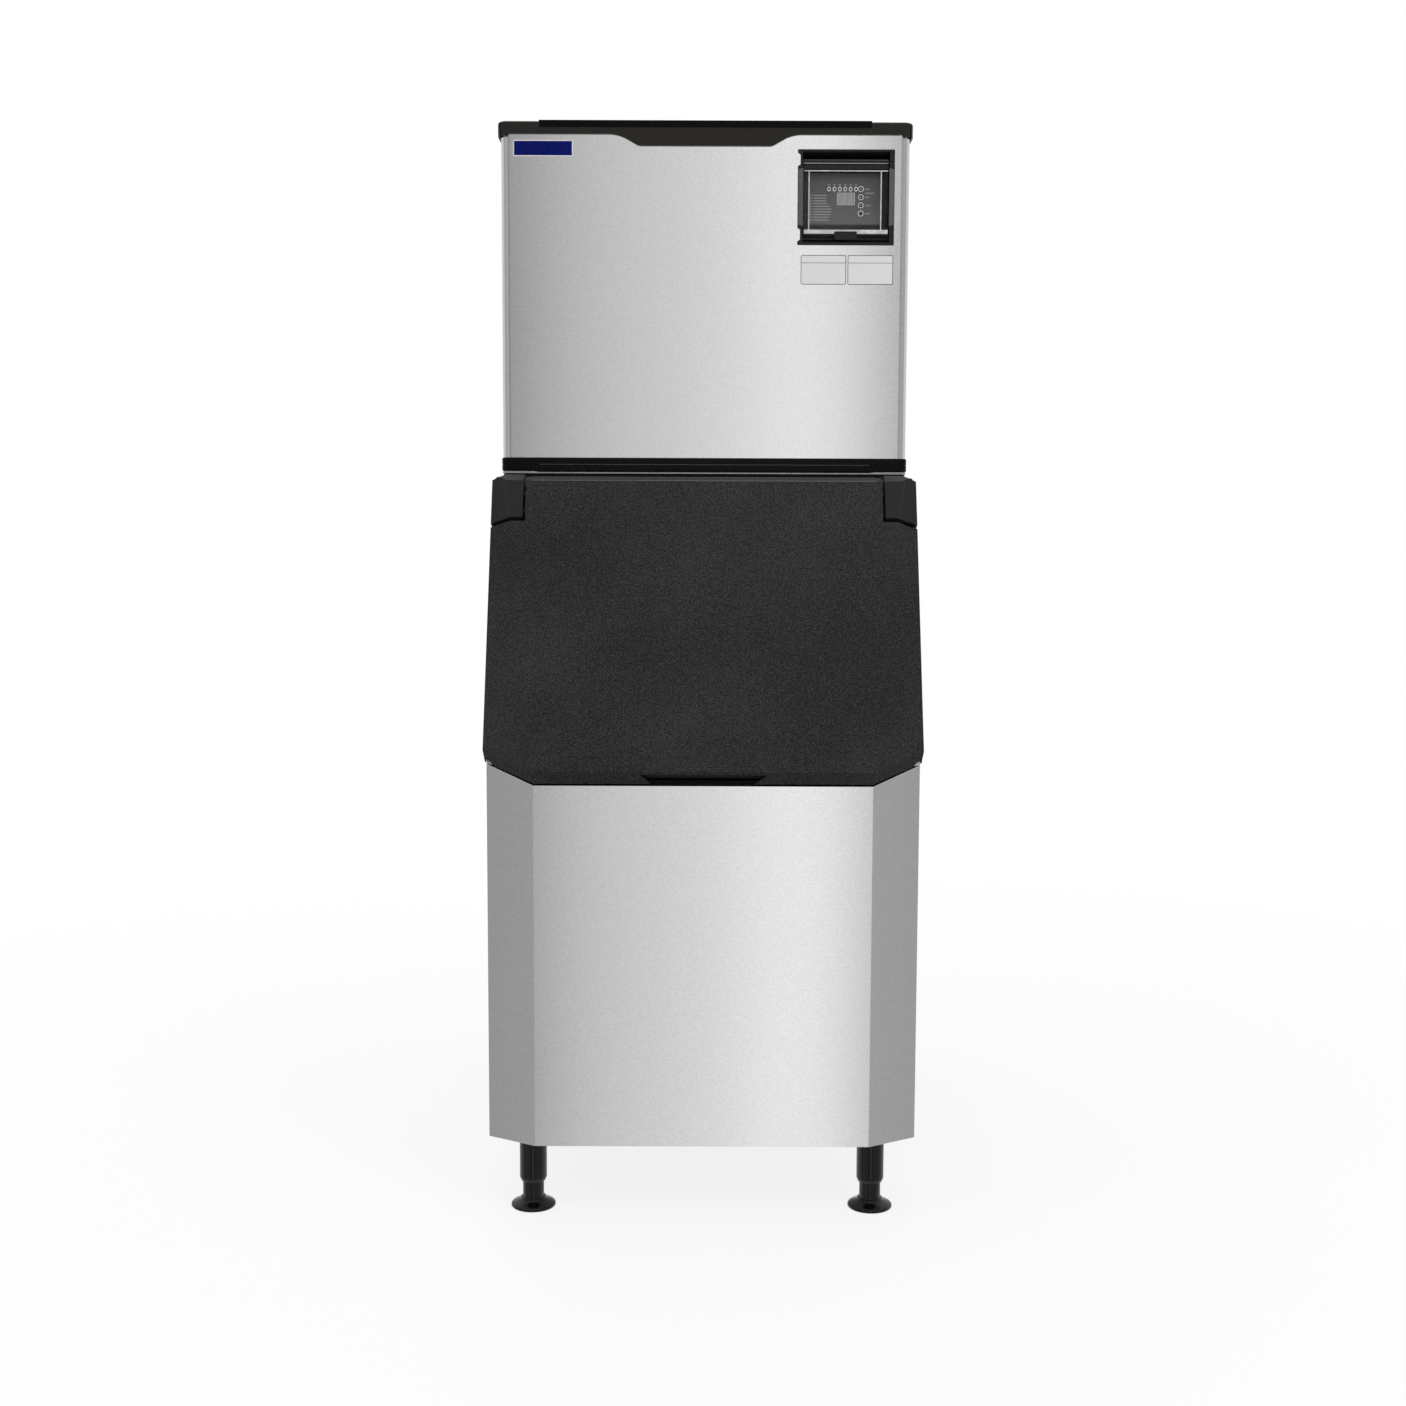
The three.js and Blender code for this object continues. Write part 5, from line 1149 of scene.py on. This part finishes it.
def makeTab():
    x, half, low, high, front, back, corner = values(tabSetup, "x half low high front back corner")
    piece = addPlate("cover_tab", x - half, x + half, low, high, front, back, corner, 4)
    editing(piece)
    lipTop = low + tabSetup["lip"]
    slicePiece((0, 0, lipTop), (0, 0, 1))
    pickFaces(lambda middle, normal: normal.y < -0.9 and middle.z < lipTop)
    pull(y=-tabSetup["lipProud"])
    doneEditing()
    softenEdges(piece, tabSetup["edge"], 2, 30)
    finishPiece(setControl(piece), "bezel_plastic", replaced=["control_cover_tab"], smooth=35, body=flap)


# Two plain films with an outline and a divider, and a plain enamel plate in a pale rim

labelSetup = {
    "plates": [(131.6, 193.8), (196.1, 258.4)], "low": 1233.3, "high": 1273, "corner": 2.4, "thick": 0.12, "sunk": 0.2,
    "line": 0.8, "lineProud": 0.06, "lineDeep": 0.12, "divider": 1262.2, "dividerInset": 0.8, "dividerHigh": 0.6,
}
namePlateSetup = {
    "left": -261.3, "right": -182.2, "low": 1405.2, "high": 1424.4, "thick": 0.5, "sunk": 0.2,
    "rim": 1.3, "rimDeep": 0.25, "corner": 0.8, "face": {"down": 0.15, "sunk": 0.1, "corner": 0.4, "edge": 0.1},
}


def makeLabels():
    low, high, corner, inset, z = values(labelSetup, "low high corner dividerInset divider")
    front = panelSetup["front"]
    filmFront = front - labelSetup["thick"]
    lineFront = filmFront - labelSetup["lineProud"]
    films, lines = [], []
    for left, right in labelSetup["plates"]:
        films.append(addPlate("film", left, right, low, high, filmFront, front + labelSetup["sunk"], corner, 8))
        outline = addPlate("outline", left, right, low, high, lineFront, front, corner, 8)
        lines.append(sinkFace(outline, labelSetup["line"], labelSetup["lineDeep"]))
        lines.append(addBlock("divider", (left + inset, lineFront, z),
                              (right - inset, front, z + labelSetup["dividerHigh"])))
    finishPiece(joinAll("label_films", *films), "stainless_steel", "label_film")
    finishPiece(joinAll("label_lines", *lines), "fascia_print", "print_dark")


def makeNamePlate():
    left, right, low, high, thick, rim = values(namePlateSetup, "left right low high thick rim")
    front, face = panelSetup["front"], namePlateSetup["face"]
    backing = addPlate("name_plate_rim", left - rim, right + rim, low - rim, high + rim, front - thick,
                       front + namePlateSetup["sunk"], namePlateSetup["corner"], 4)
    finishPiece(sinkFace(backing, rim, namePlateSetup["rimDeep"]), "white_plastic", "label_film")
    enamel = addPlate("name_plate_face", left, right, low, high, front - thick + face["down"],
                      front + face["sunk"], face["corner"], 3)
    finishPiece(softenEdges(enamel, face["edge"]), "fascia_print", "plate_enamel")


# Inner and rear solids keep their shapes; a merged copy with softened edges catches the light better.
# Width and steps of the soft edges, smoothing angle, and the body where it isn't the machine's own

softenedNodes = {
    "bin_door_inner_panel": (2.4, 3, 30, "door"), "bin_door_seal": (1.4, 3, 30, "door"),
    "bin_deck_plate": (0.5, 2, 30), "head_base_pan": (0.6, 2, 30), "head_gasket": (0.8, 2, 30),
    "bin_drain_fitting": (0.6, 2, 40), "water_inlet_fitting": (0.5, 2, 40), "head_drain_fitting": (0.6, 2, 40),
    "cable_gland": (0.6, 2, 40), "hinge_pin_left": (0.5, 2, 50), "hinge_pin_right": (0.5, 2, 50),
    "hinge_bracket_left": (0.4, 2, 40), "hinge_bracket_right": (0.4, 2, 40),
    "evaporator_coil": (0, 0, 60), "compressor": (0, 0, 50), "water_trough": (0.8, 2, 40),
    "water_pump": (0.8, 2, 40), "water_distribution_tube": (0, 0, 50), "fan_motor": (0.8, 2, 40),
    "fan_shroud": (0.8, 2, 40), "fan_blade": (0, 0, 40, "fan"), "water_curtain": (0.6, 2, 40, "curtain"),
    "head_left_side_panel": (0.5, 2, 40), "head_right_side_panel": (0.3, 1, 12), "bin_back_panel": (0.4, 2, 40),
}


def softenNodes():
    for node, (width, steps, smooth, *body) in softenedNodes.items():
        piece = mergedCopy(node, node + "_soft")
        if width:
            softenEdges(piece, width, steps, 35)
        look = "black_paint" if node.startswith("hinge_") else slotOf[node]
        finishPiece(piece, slotOf[node], look, [node], smooth, *body)


# Pan-head screws along the back and side sheets, one modelled and the rest copied

screwSetup = {
    "profile": [(3.4, 0), (3.4, 0.5), (3.1, 1.0), (2.4, 1.4), (1.2, 1.6)],
    "cross": {"long": 2.3, "half": 0.45, "low": 1.0, "high": 3}, "backY": 407.5, "sideX": 280,
    "back": [(x, z) for z in (1010, 1220, 1432) for x in (-268, -120, 20, 268)]
            + [(x, z) for z in (118, 420, 700, 948) for x in (-266, 266)],
    "side": [(y, z) for z in (1012, 1425) for y in (-140, 120, 380)],
}


def makeScrews():
    screw = addTurned("screw", screwSetup["profile"], 24)
    reach, half, low, high = values(screwSetup["cross"], "long half low high")
    for turn in (0, 90):
        cutAway(screw, moveTo(addBlock("cross", (-reach, -half, low), (reach, half, high)), (0, 0, 0), (0, 0, turn)))
    rear = moveTo(ownCopy(screw, "rear_screw"), (0, 0, 0), (-90, 0, 0))
    right = moveTo(ownCopy(screw, "side_screw"), (0, 0, 0), (0, 90, 0))
    left = mirrorPiece(right, "left_screw")
    backY, sideX = screwSetup["backY"], screwSetup["sideX"]
    screws = [ownCopy(rear, "screw_part", (x, backY, z)) for x, z in screwSetup["back"]]
    for screwHead, x in ((right, sideX), (left, -sideX)):
        screws += [ownCopy(screwHead, "screw_part", (x, y, z)) for y, z in screwSetup["side"]]
    finishPiece(joinAll("sheet_screws", *screws), "stainless_steel", smooth=35)
    dropSpares(screw, rear, right, left)


makeFrontPanel()
makeTopCap()
makeLid()
makeBaseStrip()
makeSeals()
print("head sheets, cap and strip are made")
makeLegs()
print("legs and feet are made")
makeBinPieces()
makeCoverSeats()
print("bin shell, door and hinge covers are made")
makeBezel()
makeCheeks()
makeCowl()
makeFasciaPieces()
makeLights()
makeButtons()
makeDashes()
makeCover()
makeTab()
print("controls are made")
makeLabels()
makeNamePlate()
makeScrews()
print("plates and screws are made")
softenNodes()
print("inner pieces are softened")
